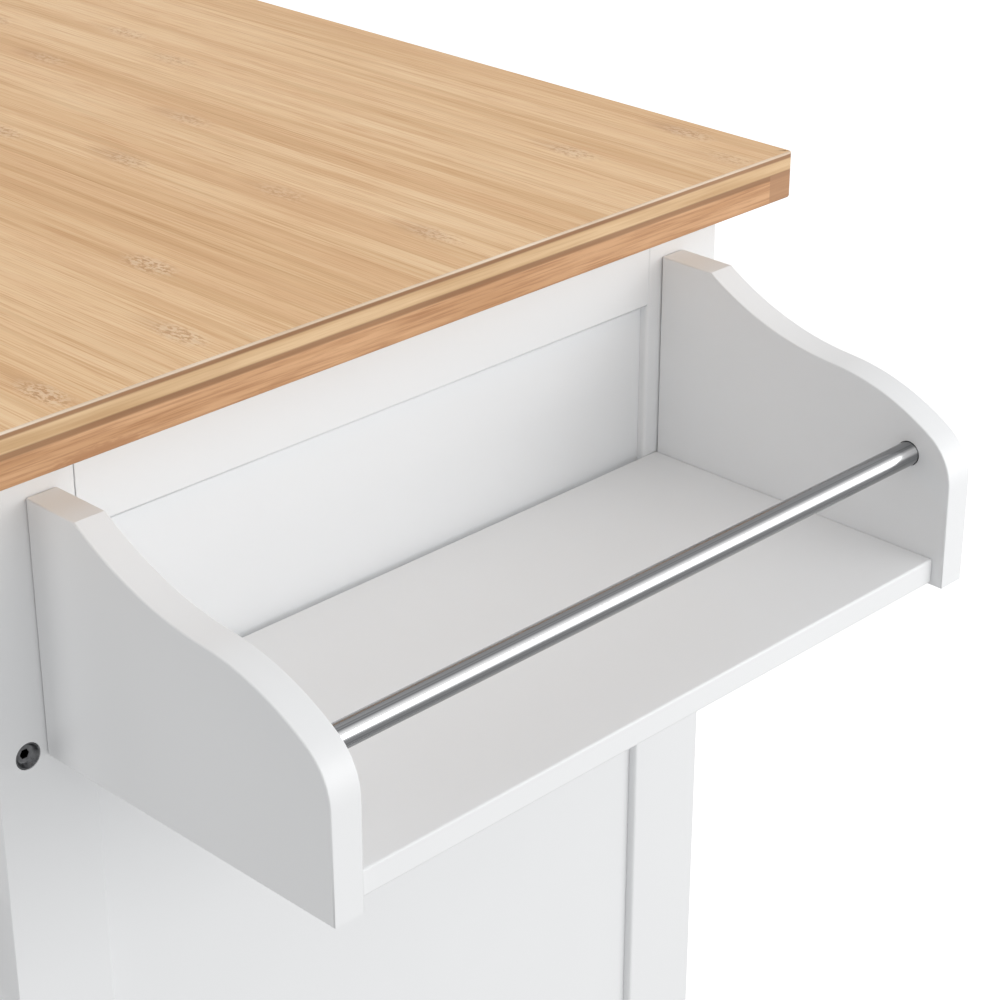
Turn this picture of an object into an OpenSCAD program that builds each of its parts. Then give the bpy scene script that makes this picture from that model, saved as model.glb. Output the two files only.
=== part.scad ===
// Kitchen cart with a laminated bamboo worktop, a painted cabinet on four casters
// and a rack with a steel bar on one end. Millimetres, +Z up, the floor at z = 0,
// +X towards the rack, the drawer and the doors on the -Y side.

/* [Worktop] */
// Length of the worktop
top_l = 900; // [760:1:1200]
// Depth of the worktop, front to back
top_d = 480; // [440:1:640]
// Thickness of the worktop
top_t = 23; // [18:1:40]
// How far the worktop stands out past the cabinet
overhang = 25; // [24:1:50]
// Height of the worktop above the floor
total_h = 900; // [820:1:1000]

/* [Frame] */
// Thickness of the posts and rails of the end and back frames
frame_t = 20; // [18:1:28]
// Width of the posts
post_w = 48; // [42:1:70]
// Height of the top rails of the end and back frames
top_rail_h = 43; // [35:1:60]
// Height of all the bottom rails
foot_rail_h = 50; // [35:1:80]
// Height of the front top and middle rails
rail_h = 20; // [18:1:30]
// Depth of the front rails, front to back
rail_d = 30; // [26:1:45]
// Thickness of the panels in the end and back frames
panel_t = 12; // [6:1:14]
// How far the panels lie behind the face of their frame
panel_inset = 4.3; // [2:0.1:6]

/* [Cabinet] */
// Thickness of the floor board and the shelf
board_t = 15; // [12:1:22]
// Height of the shelf's underside above the floor board
shelf_up = 300; // [220:1:360]
// Gap around the loose shelf
shelf_gap = 1.5; // [1:0.5:3]
// Radius of a shelf pin
pin_r = 2.5; // [2:0.25:3]
// Distance between the rows of pin holes
pin_pitch = 32; // [25:1:40]

/* [Drawer] */
// Clear height of the drawer opening
drawer_open_h = 101; // [94:1:150]
// Gap around the drawer front
drawer_gap = 1.5; // [1:0.25:3]
// Thickness of the drawer front
drawer_front_t = 18; // [15:1:22]
// Thickness of the drawer's sides and back
drawer_wall = 12; // [9:1:15]
// Height of the drawer's sides
drawer_side_h = 75; // [60:1:78]
// Depth of the drawer box behind its front
drawer_l = 360; // [280:1:370]
// Thickness of the drawer's bottom
drawer_bottom_t = 6; // [4:1:9]
// Space for a runner on each side of the drawer
runner_w = 12.7; // [12:0.1:14]

/* [Doors] */
// Thickness of the doors' stiles and rails
door_t = 18; // [16:1:22]
// Width of the doors' stiles and rails
door_frame_w = 48; // [40:1:65]
// Thickness of the doors' panels
door_panel_t = 8; // [6:1:10]
// Gap beside the posts, where the hinge leaves are
hinge_gap = 2.4; // [2.2:0.1:4]
// Gap between the doors, and above and below them
door_gap = 2; // [1.5:0.25:4]
// Radius of a hinge barrel
barrel_r = 3; // [2.5:0.25:4]
// Length of a hinge
hinge_l = 50; // [40:1:75]
// Distance from a door's top and bottom to its hinges
hinge_in = 70; // [50:1:120]
// Radius of a knob
knob_r = 12; // [9:0.5:15]
// How far a knob stands out
knob_out = 22; // [18:1:23]

/* [Rack] */
// Distance from the cabinet's front and back in to the rack's sides
rack_in = 24; // [22:1:32]
// How far the rack stands out from the end frame
rack_d = 171; // [160:1:210]
// Height of the rack's sides
rack_h = 114; // [95:1:150]
// Distance from the worktop's underside down to the rack
rack_drop = 20; // [10:1:60]
// Thickness of the rack's sides
rack_t = 15; // [12:1:20]
// Length of the flat top of a side
rack_flat = 30.5; // [20:0.5:40]
// Distance from the end frame to the low point between a side's two curves
rack_knee = 103; // [95:1:115]
// Radius of a side's rounded front corner
rack_nose_r = 27; // [18:1:34]
// Thickness of the rack's shelf
rack_shelf_t = 12; // [9:1:18]
// Height of the shelf's underside above the bottom of the sides
rack_shelf_lift = 1.4; // [0:0.1:6]
// How far the shelf's front lies behind the front of the sides
rack_shelf_back = 5.5; // [2:0.5:12]
// Diameter of the steel bar
bar_d = 11; // [10:0.5:16]
// Distance from the end frame to the bar
bar_x = 148; // [140:0.5:150]
// How far the bar lies below the top of the sides
bar_down = 54; // [45:0.5:65]
// Depth of the bar's sockets in the sides
bar_socket = 8; // [5:1:10]

/* [Casters] */
// Height of a caster with its plate
caster_h = 64; // [60:1:70]
// Radius of a wheel
wheel_r = 25; // [20:0.5:25]
// Width of a wheel
wheel_w = 19; // [14:0.5:23]
// Distance from the swivel axis back to the axle
caster_trail = 20; // [14:1:24]
// Distance from the cabinet's faces in to the swivel axes
caster_in = 42; // [36:1:60]
// Side of the square caster plate
caster_plate = 42; // [38:1:50]

/* [Hidden] */
$fn = 48;

paint = "white";
bamboo = "burlywood";
steel = "silver";
dark = "dimgray";

// The body's length and depth, and the planes that the pieces stand on
body_l = top_l - 2 * overhang;
body_d = top_d - 2 * overhang;
mid_x = -(rack_d - overhang) / 2;
rack_x = mid_x + body_l / 2;
plain_x = mid_x - body_l / 2;
front_y = -body_d / 2;
back_y = body_d / 2;
foot_z = caster_h;
deck_z = total_h - top_t;
frame_h = deck_z - foot_z;
inner_l = body_l - 2 * frame_t;
rack_w = body_d - 2 * rack_in;
inner_x = mid_x - inner_l / 2;
middle_z = deck_z - 2 * rail_h - drawer_open_h;
door_z = foot_z + foot_rail_h;
floor_z = foot_z + board_t;

// Bolts: radii of the shank, its hole, the cupped head, its cup and the head's counterbore
bolt_r = 3;
bolt_l = 50;
bolt_hole_r = 3.3;
head_r = 5.8;
head_t = 3.4;
cup_r = 5.1;
cup_t = 2.4;
counterbore_r = 6;
counterbore_t = 3.6;
bolt_socket = 4.6;

// The places of the bolts on an end frame, as [y, z]
bolt_places = [
    [front_y + rail_d / 2, middle_z + rail_h / 2],
    [front_y + rail_d / 2, foot_z + foot_rail_h / 2],
    [back_y - frame_t / 2, foot_z + foot_rail_h / 2]
];

// Screws that hold the rack, and their heads
screw_r = 2;
screw_clear = 0.1;
screw_head_r = 4;
screw_head_t = 2.5;
screw_l = 48;

// Turns a part of the rack end into the same part of the plain end
module at_end(side) {
    translate([mid_x, 0, 0])
        mirror([side > 0 ? 0 : 1, 0, 0])
            translate([body_l / 2, 0, 0])
                children();
}

// side is 1 for the rack end and -1 for the plain end, row is -1 front and 1 back
module post(side, row) {
    y0 = row < 0 ? front_y : back_y - post_w;
    color(paint) at_end(side) difference() {
        translate([-frame_t, y0, foot_z]) cube([frame_t, post_w, frame_h]);
        for (place = bolt_places) translate([0, place[0], place[1]]) rotate([0, -90, 0]) {
            translate([0, 0, -1]) cylinder(r = counterbore_r, h = counterbore_t + 1);
            cylinder(r = bolt_hole_r, h = frame_t + 1);
        }
        if (side > 0) rack_screw_places() screw_hole();
        pin_holes();
    }
}

module end_rail(side, z0, h) {
    color(paint) at_end(side)
        translate([-frame_t, front_y + post_w, z0]) cube([frame_t, body_d - 2 * post_w, h]);
}

module end_panel(side) {
    z0 = foot_z + foot_rail_h;
    color(paint) at_end(side)
        translate([-panel_inset - panel_t, front_y + post_w, z0])
            cube([panel_t, body_d - 2 * post_w, deck_z - top_rail_h - z0]);
}

// A rail between the end frames, drilled for its bolts where it has them
module cross_rail(y0, z0, d, h) {
    color(paint) difference() {
        translate([inner_x, y0, z0]) cube([inner_l, d, h]);
        for (side = [-1, 1]) at_end(side) for (place = bolt_places)
            translate([0, place[0], place[1]]) rotate([0, -90, 0])
                cylinder(r = bolt_hole_r, h = counterbore_t + bolt_l + 1);
    }
}

module back_mullion() {
    z0 = foot_z + foot_rail_h;
    color(paint) translate([mid_x - post_w / 2, back_y - frame_t, z0])
        cube([post_w, frame_t, deck_z - top_rail_h - z0]);
}

module back_panels() {
    z0 = foot_z + foot_rail_h;
    panel_l = (inner_l - post_w) / 2;
    color(paint) for (x0 = [inner_x, mid_x + post_w / 2])
        translate([x0, back_y - panel_inset - panel_t, z0])
            cube([panel_l, panel_t, deck_z - top_rail_h - z0]);
}

module worktop() {
    color(bamboo) translate([mid_x - top_l / 2, -top_d / 2, deck_z]) cube([top_l, top_d, top_t]);
}

module floor_board() {
    color(paint) translate([inner_x, front_y + rail_d, foot_z])
        cube([inner_l, body_d - rail_d - frame_t, board_t]);
}

// The shelf lies behind the doors and rests on four pins
shelf_y = front_y + door_t + 6;
shelf_back_y = back_y - frame_t - shelf_gap;
shelf_z = floor_z + shelf_up;
pin_out = 9;
pin_deep = 8;
pin_clear = 0.05;
pin_places = [front_y + post_w - 12, back_y - post_w + 12];

module shelf() {
    color(paint) translate([inner_x + shelf_gap, shelf_y, shelf_z])
        cube([inner_l - 2 * shelf_gap, shelf_back_y - shelf_y, board_t]);
}

module shelf_pins() {
    color(steel) for (side = [-1, 1]) at_end(side) for (y = pin_places)
        translate([-frame_t + pin_deep, y, shelf_z - pin_r]) rotate([0, -90, 0])
            cylinder(r = pin_r, h = pin_deep + pin_out);
}

module pin_holes() {
    for (y = pin_places, step = [-1, 0, 1])
        translate([-frame_t - 1, y, shelf_z - pin_r + step * pin_pitch]) rotate([0, 90, 0])
            cylinder(r = pin_r + pin_clear, h = pin_deep + 1);
}

// Angle brackets that hold the worktop down, with their screws
bracket_leg = 28;
bracket_w = 18;
bracket_t = 2;

module bracket() {
    translate([-bracket_t, -bracket_w / 2, -bracket_leg]) cube([bracket_t, bracket_w, bracket_leg]);
    translate([-bracket_leg, -bracket_w / 2, -bracket_t]) cube([bracket_leg, bracket_w, bracket_t]);
    translate([-bracket_leg * 0.6, 0, -bracket_t - screw_head_t])
        cylinder(r = screw_head_r, h = screw_head_t);
    translate([-bracket_t - screw_head_t, 0, -bracket_leg * 0.6]) rotate([0, 90, 0])
        cylinder(r = screw_head_r, h = screw_head_t);
}

module worktop_brackets() {
    color(steel) {
        for (side = [-1, 1], y = [-body_d / 4, body_d / 4]) at_end(side)
            translate([-frame_t, y, deck_z]) bracket();
        for (x = [-inner_l / 4, inner_l / 4])
            translate([mid_x + x, back_y - frame_t, deck_z]) rotate([0, 0, 90]) bracket();
    }
}

module frame_bolts() {
    color(dark) for (side = [-1, 1]) at_end(side) for (place = bolt_places)
        translate([-counterbore_t, place[0], place[1]]) rotate([0, 90, 0]) difference() {
            union() {
                cylinder(r = head_r, h = head_t);
                translate([0, 0, -bolt_l]) cylinder(r = bolt_r, h = bolt_l);
            }
            translate([0, 0, head_t - cup_t]) cylinder(r1 = cup_r - 1.2, r2 = cup_r, h = cup_t + 0.01);
            translate([0, 0, head_t - cup_t - 2]) cylinder(r = bolt_socket / 2, h = 3, $fn = 6);
        }
}

// The rack's sides: a flat top, a hollow curve, a full curve and a rounded front corner,
// each running on from the last. Angles are those of the outline below the level.
rack_z = deck_z - rack_drop - rack_h;
hollow_angle = 33;
knee_angle = 3.5;
nose_angle = 33.5;
arc_step = 3;
nose_x = rack_d - rack_nose_r * (1 - sin(nose_angle));
hollow_r = (rack_knee - rack_flat) / (sin(hollow_angle) - sin(knee_angle));
full_r = (nose_x - rack_knee) / (sin(nose_angle) - sin(knee_angle));
knee_z = rack_h - hollow_r * (cos(knee_angle) - cos(hollow_angle));
nose_z = knee_z - full_r * (cos(knee_angle) - cos(nose_angle));

// Points of an arc that leaves [x, z] at the angle a and ends at the angle b
function hollow_arc(x, z, r, a, b) = [
    for (t = [a : -arc_step : b]) [x + r * (sin(a) - sin(t)), z - r * (cos(t) - cos(a))]
];
function full_arc(x, z, r, a, b) = [
    for (t = [a : arc_step : b]) [x + r * (sin(t) - sin(a)), z - r * (cos(a) - cos(t))]
];

rack_outline = concat(
    [[0, 0], [0, rack_h]],
    hollow_arc(rack_flat, rack_h, hollow_r, hollow_angle, knee_angle),
    full_arc(rack_knee, knee_z, full_r, knee_angle, nose_angle),
    full_arc(nose_x, nose_z, rack_nose_r, nose_angle, 90),
    [[rack_d, nose_z - rack_nose_r * cos(nose_angle)], [rack_d, 0]]
);

// inner is the y of the side's inner face, and row is -1 front and 1 back
module rack_side(row) {
    inner = row * (rack_w / 2 - rack_t);
    y1 = row < 0 ? inner : inner + rack_t;
    color(paint) difference() {
        translate([rack_x, y1, rack_z]) rotate([90, 0, 0])
            linear_extrude(height = rack_t) polygon(rack_outline);
        translate([rack_x + bar_x, inner + row * bar_socket, bar_z])
            rotate([row * 90, 0, 0]) cylinder(r = bar_hole_r, h = bar_socket + 1);
        at_end(1) rack_screw_places() screw_hole();
        rack_dowel_places() rotate([-90, 0, 0])
            cylinder(r = dowel_r + screw_clear, h = dowel_l, center = true);
    }
}

bar_hole_r = bar_d / 2 + 0.3;
bar_z = rack_z + rack_h - bar_down;
dowel_r = 3;
dowel_l = 20;

module rack_dowel_places() {
    for (y = [-1, 1] * (rack_w / 2 - rack_t), x = [0.25, 0.75] * (rack_d - rack_shelf_back))
        translate([rack_x + x, y, rack_z + rack_shelf_lift + rack_shelf_t / 2]) children();
}

module rack_shelf() {
    color(paint) difference() {
        translate([rack_x, rack_t - rack_w / 2, rack_z + rack_shelf_lift])
            cube([rack_d - rack_shelf_back, rack_w - 2 * rack_t, rack_shelf_t]);
        rack_dowel_places() rotate([-90, 0, 0])
            cylinder(r = dowel_r + screw_clear, h = dowel_l, center = true);
    }
}

bar_wall = 1.2;

module rack_bar() {
    bar_l = rack_w - 2 * rack_t + 2 * bar_socket - 1;
    color(steel) translate([rack_x + bar_x, -bar_l / 2, bar_z]) rotate([-90, 0, 0])
        difference() {
            cylinder(d = bar_d, h = bar_l);
            translate([0, 0, -1]) cylinder(d = bar_d - 2 * bar_wall, h = bar_l + 2);
        }
}

// Places of the screws through the posts into the rack's sides, pointing outwards
module rack_screw_places() {
    for (y = [-1, 1] * (rack_w - rack_t) / 2, z = [20, rack_h - 26])
        translate([-frame_t, y, rack_z + z]) rotate([0, 90, 0]) children();
}

module screw_hole() {
    translate([0, 0, -1]) cylinder(r = screw_head_r + screw_clear, h = screw_head_t + 1);
    cylinder(r = screw_r + screw_clear, h = screw_l + 1);
}

// The screws and the dowels that hold the rack
module rack_screws() {
    color(dark) at_end(1) rack_screw_places() {
        cylinder(r = screw_r, h = screw_l);
        cylinder(r = screw_head_r, h = screw_head_t);
    }
    color(bamboo) rack_dowel_places() rotate([-90, 0, 0])
        cylinder(r = dowel_r, h = dowel_l - 1, center = true);
}

// Drawer: its box lies between two telescopic runners
drawer_z = deck_z - rail_h - drawer_open_h;
box_y = front_y + drawer_front_t;
box_z = drawer_z + 8;
box_x = inner_x + runner_w;
box_w = inner_l - 2 * runner_w;
runner_z = box_z + drawer_side_h / 2;
runner_h = 36;
sheet = 1.4;
slide_h = 26;
slide_clear = 0.6;
runner_l = back_y - frame_t - 5 - box_y;

module drawer_front() {
    color(paint) translate([inner_x + drawer_gap, front_y, drawer_z + drawer_gap])
        cube([inner_l - 2 * drawer_gap, drawer_front_t, drawer_open_h - 2 * drawer_gap]);
}

module drawer_side(side) {
    x0 = side < 0 ? box_x : box_x + box_w - drawer_wall;
    color(bamboo) translate([x0, box_y, box_z]) cube([drawer_wall, drawer_l, drawer_side_h]);
}

module drawer_back() {
    color(bamboo) translate([box_x + drawer_wall, box_y + drawer_l - drawer_wall, box_z])
        cube([box_w - 2 * drawer_wall, drawer_wall, drawer_side_h]);
}

module drawer_bottom() {
    color(bamboo) translate([box_x + drawer_wall, box_y, box_z + 5])
        cube([box_w - 2 * drawer_wall, drawer_l - drawer_wall, drawer_bottom_t]);
}

// A channel that lies along y, open towards +x, w wide and h high
module channel(w, h, l) {
    cube([sheet, l, h]);
    for (z = [0, h - sheet]) translate([0, 0, z]) cube([w, l, sheet]);
}

module drawer_runners() {
    for (side = [-1, 1]) color(steel) at_end(side)
        translate([-frame_t, box_y + 1, runner_z - runner_h / 2]) mirror([1, 0, 0])
            channel(runner_w - slide_clear - sheet, runner_h, runner_l);
}

// The drawer's own channels, which run inside those of the posts
module drawer_slides() {
    for (side = [-1, 1]) color(steel) at_end(side)
        translate([-frame_t - runner_w, box_y + 2, runner_z - slide_h / 2])
            channel(runner_w - sheet - slide_clear, slide_h, drawer_l - 4);
}

// A turned knob that stands out along -y from [x, z] on the front
module knob(x, z) {
    translate([x, front_y, z]) rotate([90, 0, 0]) rotate_extrude() polygon(concat(
        [[0, 0], [knob_r * 0.62, 0], [knob_r * 0.62, 1.5], [knob_r * 0.42, 4], [knob_r * 0.42, 8]],
        [for (t = [-60 : 15 : 90]) [
            knob_r * 0.6 + knob_r * 0.4 * cos(t),
            knob_out - 6 + 6 * sin(t)
        ]],
        [[0, knob_out]]
    ));
}

module drawer_knobs() {
    color(steel) for (x = [-inner_l / 4, inner_l / 4]) knob(mid_x + x, drawer_z + drawer_open_h / 2);
}

// Doors: side is -1 for the left door and 1 for the right one
door_w = (inner_l - 2 * hinge_gap - door_gap) / 2;
door_h = middle_z - door_z - 2 * door_gap;

// Puts the left door's hinge edge at x = 0, and its mirror image for the right door
module at_door(side) {
    translate([mid_x, front_y, door_z + door_gap])
        mirror([side < 0 ? 0 : 1, 0, 0])
            translate([hinge_gap - inner_l / 2, 0, 0])
                children();
}

module door_stiles(side) {
    color(paint) at_door(side) for (x = [0, door_w - door_frame_w])
        translate([x, 0, 0]) cube([door_frame_w, door_t, door_h]);
}

module door_rails(side) {
    color(paint) at_door(side) for (z = [0, door_h - door_frame_w])
        translate([door_frame_w, 0, z]) cube([door_w - 2 * door_frame_w, door_t, door_frame_w]);
}

module door_panel(side) {
    color(paint) at_door(side) translate([door_frame_w, panel_inset, door_frame_w])
        cube([door_w - 2 * door_frame_w, door_panel_t, door_h - 2 * door_frame_w]);
}

module door_knob(side) {
    color(steel)
        knob(mid_x + side * (door_gap / 2 + door_frame_w / 2), middle_z - door_gap - 70);
}

// A hinge has three knuckles: the middle one turns with the door on the post leaf's pin
hinge_y = -barrel_r - 0.2;
leaf_t = 0.9;
leaf_d = door_t - 3;
leaf_y = 0.4;
knuckle_l = hinge_l / 3;
knuckle_gap = 0.3;
hinge_pin_r = 1.5;
hinge_pin_clear = 0.05;

module at_hinges(side) {
    at_door(side) for (z = [hinge_in, door_h - hinge_in])
        translate([-hinge_gap / 2, hinge_y, z]) children();
}

// One knuckle from z0 to z1, joined to its leaf on the side of dir
module knuckle(dir, z0, z1) {
    inner_face = dir * (hinge_gap / 2 - leaf_t);
    translate([0, 0, z0]) cylinder(r = barrel_r, h = z1 - z0);
    translate([dir > 0 ? inner_face : inner_face - leaf_t, 0, z0])
        cube([leaf_t, leaf_y - hinge_y, z1 - z0]);
}

module leaf(dir) {
    inner_face = dir * (hinge_gap / 2 - leaf_t);
    translate([dir > 0 ? inner_face : inner_face - leaf_t, leaf_y - hinge_y, -hinge_l / 2])
        cube([leaf_t, leaf_d, hinge_l]);
}

module hinge_posts() {
    color(steel) for (side = [-1, 1]) at_hinges(side) {
        leaf(-1);
        knuckle(-1, -hinge_l / 2, -knuckle_l / 2 - knuckle_gap);
        knuckle(-1, knuckle_l / 2 + knuckle_gap, hinge_l / 2);
        translate([0, 0, -hinge_l / 2]) cylinder(r = hinge_pin_r, h = hinge_l);
    }
}

module door_hinges(side) {
    color(steel) at_hinges(side) difference() {
        union() {
            leaf(1);
            knuckle(1, -knuckle_l / 2, knuckle_l / 2);
        }
        translate([0, 0, -hinge_l / 2]) cylinder(r = hinge_pin_r + hinge_pin_clear, h = hinge_l);
    }
}

module door_catch() {
    color(dark) translate([mid_x - 24, front_y + door_t + 0.6, middle_z - 12])
        cube([48, rail_d - door_t - 0.6, 12]);
}

// Casters: a plate with a bearing boss, a fork that turns in it, a wheel and a brake
plate_t = 2.5;
boss_r = 15;
boss_h = 7;
king_r = 4;
king_clear = 0.05;
fork_t = 2.5;
fork_gap = 1.2;
fork_top_z = caster_h - plate_t - boss_h - 0.4;
axle_r = 3;
axle_clear = 0.05;

module at_caster(side, row) {
    translate([
        mid_x + side * (body_l / 2 - caster_in),
        row * (body_d / 2 - caster_in),
        0
    ]) children();
}

module caster_plates() {
    color(steel) for (side = [-1, 1], row = [-1, 1]) at_caster(side, row) {
        difference() {
            union() {
                translate([-caster_plate / 2, -caster_plate / 2, caster_h - plate_t])
                    cube([caster_plate, caster_plate, plate_t]);
                translate([0, 0, caster_h - plate_t - boss_h]) cylinder(r = boss_r, h = boss_h);
            }
            translate([0, 0, fork_top_z - 1]) cylinder(r = king_r + king_clear, h = boss_h + 1);
        }
        for (x = [-1, 1], y = [-1, 1])
            translate([x, y, 0] * (caster_plate / 2 - 5) + [0, 0, caster_h - plate_t - 2])
                cylinder(r = 3.2, h = 2);
    }
}

// The brake's pin lies behind and above the axle, clear of the wheel
pin_back = 22;
pin_up = 22;
brake_pin_r = 2;
brake_pin_clear = 0.05;
lug_r = 5;

// A cheek of the fork, as seen from the side: from the crown down and back to the axle,
// and out to the brake's pin where there is a brake
module fork_cheek(braked) {
    polygon([
        [-boss_r, fork_top_z],
        [boss_r, fork_top_z],
        [boss_r, fork_top_z - 8],
        [-caster_trail + 7, wheel_r - 4],
        [-caster_trail - 7, wheel_r - 4],
        [-caster_trail - 8, wheel_r + 2]
    ]);
    translate([-caster_trail, wheel_r]) circle(r = 8);
    if (braked) {
        polygon([
            [-boss_r, fork_top_z],
            [-caster_trail - pin_back, wheel_r + pin_up + lug_r],
            [-caster_trail - pin_back - lug_r, wheel_r + pin_up],
            [-caster_trail - 8, wheel_r]
        ]);
        translate([-caster_trail - pin_back, wheel_r + pin_up]) circle(r = lug_r);
    }
}

// The inner faces of the cheeks stand this far from the middle of the wheel
cheek_y = wheel_w / 2 + fork_gap;

module fork(side, row, braked = false) {
    color(steel) at_caster(side, row) {
        translate([0, 0, fork_top_z]) cylinder(r = king_r, h = boss_h - 0.6);
        translate([0, 0, fork_top_z - fork_t]) cylinder(r = boss_r, h = fork_t);
        for (y = [-cheek_y, cheek_y + fork_t]) translate([0, y, 0]) rotate([90, 0, 0])
            linear_extrude(height = fork_t) fork_cheek(braked);
        translate([-caster_trail, cheek_y + fork_t, wheel_r]) rotate([90, 0, 0])
            cylinder(r = axle_r, h = 2 * (cheek_y + fork_t));
        if (braked) translate([-caster_trail - pin_back, cheek_y + fork_t, wheel_r + pin_up])
            rotate([90, 0, 0]) cylinder(r = brake_pin_r, h = 2 * (cheek_y + fork_t));
    }
}

module wheel(side, row) {
    color(dark) at_caster(side, row) translate([-caster_trail, 0, wheel_r]) rotate([90, 0, 0])
        difference() {
            rotate_extrude() polygon([
                [0, -wheel_w / 2], [8, -wheel_w / 2], [9, -wheel_w / 2 + 2],
                [wheel_r * 0.68, -wheel_w / 2 + 2], [wheel_r * 0.74, -wheel_w / 2 + 0.5],
                [wheel_r - 2.5, -wheel_w / 2 + 0.5], [wheel_r, -wheel_w / 2 + 3],
                [wheel_r, wheel_w / 2 - 3], [wheel_r - 2.5, wheel_w / 2 - 0.5],
                [wheel_r * 0.74, wheel_w / 2 - 0.5], [wheel_r * 0.68, wheel_w / 2 - 2],
                [9, wheel_w / 2 - 2], [8, wheel_w / 2], [0, wheel_w / 2]
            ]);
            cylinder(r = axle_r + axle_clear, h = wheel_w + 2, center = true);
        }
}

// The brake lever: a hub on the pin, a pedal behind it and a nose that nears the wheel
// as the pedal goes down
brake_w = 2 * cheek_y - 1;
hub_r = 4;
nose_l = 5.6;
nose_turn = -65;
pedal_l = 22;
pedal_t = 3.5;
pedal_turn = 6;

module brake(side, row) {
    color(dark) at_caster(side, row)
        translate([-caster_trail - pin_back, brake_w / 2, wheel_r + pin_up]) rotate([90, 0, 0])
            difference() {
                union() {
                    cylinder(r = hub_r, h = brake_w);
                    rotate(nose_turn) translate([hub_r / 2 + 0.6, -1.5, 3])
                        cube([nose_l - hub_r / 2 - 0.6, 3, brake_w - 6]);
                    rotate(180 - pedal_turn) translate([hub_r / 2 + 0.6, 0.7 - hub_r, 0.4])
                        cube([pedal_l, pedal_t, brake_w - 0.8]);
                }
                translate([0, 0, -1])
                    cylinder(r = brake_pin_r + brake_pin_clear, h = brake_w + 2);
            }
}

worktop();
post(1, -1);  // post_rack_front
post(1, 1);  // post_rack_back
post(-1, -1);  // post_plain_front
post(-1, 1);  // post_plain_back
end_rail(1, deck_z - top_rail_h, top_rail_h);  // end_top_rail_rack
end_rail(-1, deck_z - top_rail_h, top_rail_h);  // end_top_rail_plain
end_rail(1, foot_z, foot_rail_h);  // end_foot_rail_rack
end_rail(-1, foot_z, foot_rail_h);  // end_foot_rail_plain
end_panel(1);  // end_panel_rack
end_panel(-1);  // end_panel_plain
cross_rail(front_y, deck_z - rail_h, rail_d, rail_h);  // front_top_rail
cross_rail(front_y, middle_z, rail_d, rail_h);  // front_middle_rail
cross_rail(front_y, foot_z, rail_d, foot_rail_h);  // front_foot_rail
cross_rail(back_y - frame_t, deck_z - top_rail_h, frame_t, top_rail_h);  // back_top_rail
cross_rail(back_y - frame_t, foot_z, frame_t, foot_rail_h);  // back_foot_rail
back_mullion();
back_panels();
floor_board();
shelf();
shelf_pins();
worktop_brackets();
frame_bolts();
rack_side(-1);  // rack_side_front
rack_side(1);  // rack_side_back
rack_shelf();
rack_bar();
rack_screws();
drawer_runners();
hinge_posts();
door_catch();
caster_plates();
drawer_front();
drawer_side(-1);  // drawer_side_left
drawer_side(1);  // drawer_side_right
drawer_back();
drawer_bottom();
drawer_knobs();
drawer_slides();
door_stiles(-1);  // door_left_stiles
door_rails(-1);  // door_left_rails
door_panel(-1);  // door_left_panel
door_knob(-1);  // door_left_knob
door_hinges(-1);  // door_left_hinges
door_stiles(1);  // door_right_stiles
door_rails(1);  // door_right_rails
door_panel(1);  // door_right_panel
door_knob(1);  // door_right_knob
door_hinges(1);  // door_right_hinges
fork(1, -1, true);  // fork_rack_front
fork(1, 1);  // fork_rack_back
fork(-1, -1, true);  // fork_plain_front
fork(-1, 1);  // fork_plain_back
wheel(1, -1);  // wheel_rack_front
wheel(1, 1);  // wheel_rack_back
wheel(-1, -1);  // wheel_plain_front
wheel(-1, 1);  // wheel_plain_back
brake(1, -1);  // brake_rack_front
brake(-1, -1);  // brake_plain_front
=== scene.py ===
"""Looks of a rolling kitchen cart: bamboo worktop, painted cabinet, and a rack on one end.

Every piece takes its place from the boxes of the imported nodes. Lengths are metres, +X points
out of the rack end and -Y out of the front, where the drawer and the doors are.
"""

import logging
import math
import random
from collections.abc import Callable, Iterable, Sequence
from dataclasses import dataclass
from enum import Enum

import bmesh
import bpy
from mathutils import Matrix, Vector


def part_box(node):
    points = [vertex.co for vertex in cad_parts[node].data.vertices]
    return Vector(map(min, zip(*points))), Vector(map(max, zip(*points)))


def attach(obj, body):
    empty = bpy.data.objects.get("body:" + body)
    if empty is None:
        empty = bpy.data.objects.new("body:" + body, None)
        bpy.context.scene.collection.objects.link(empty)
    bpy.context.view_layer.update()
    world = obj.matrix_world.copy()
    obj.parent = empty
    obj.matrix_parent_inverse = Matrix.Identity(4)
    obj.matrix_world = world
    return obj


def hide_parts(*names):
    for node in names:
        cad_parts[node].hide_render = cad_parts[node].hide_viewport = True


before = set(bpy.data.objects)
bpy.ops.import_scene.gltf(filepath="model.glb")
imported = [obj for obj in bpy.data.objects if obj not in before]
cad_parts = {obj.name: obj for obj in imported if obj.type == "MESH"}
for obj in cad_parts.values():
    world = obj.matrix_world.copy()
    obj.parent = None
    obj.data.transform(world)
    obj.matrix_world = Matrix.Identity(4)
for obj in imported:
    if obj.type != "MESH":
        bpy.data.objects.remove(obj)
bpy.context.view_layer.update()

LOG = logging.getLogger("kitchen_cart")

MM = 0.001
# Two coordinates this near each other count as one.
SAME = 1e-6
# A drill starts this far outside the face that it goes into.
OVERSHOOT = 1 * MM
# A unit direction runs along an axis when its part along that axis is more than this.
ALIGNED = 0.99
X_AXIS = Vector((1.0, 0.0, 0.0))
Y_AXIS = Vector((0.0, 1.0, 0.0))
Z_AXIS = Vector((0.0, 0.0, 1.0))

Triple = tuple[float, float, float]
Colour = tuple[float, float, float, float]
Socket = bpy.types.NodeSocket
Profile = Sequence[tuple[float, float]]


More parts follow.
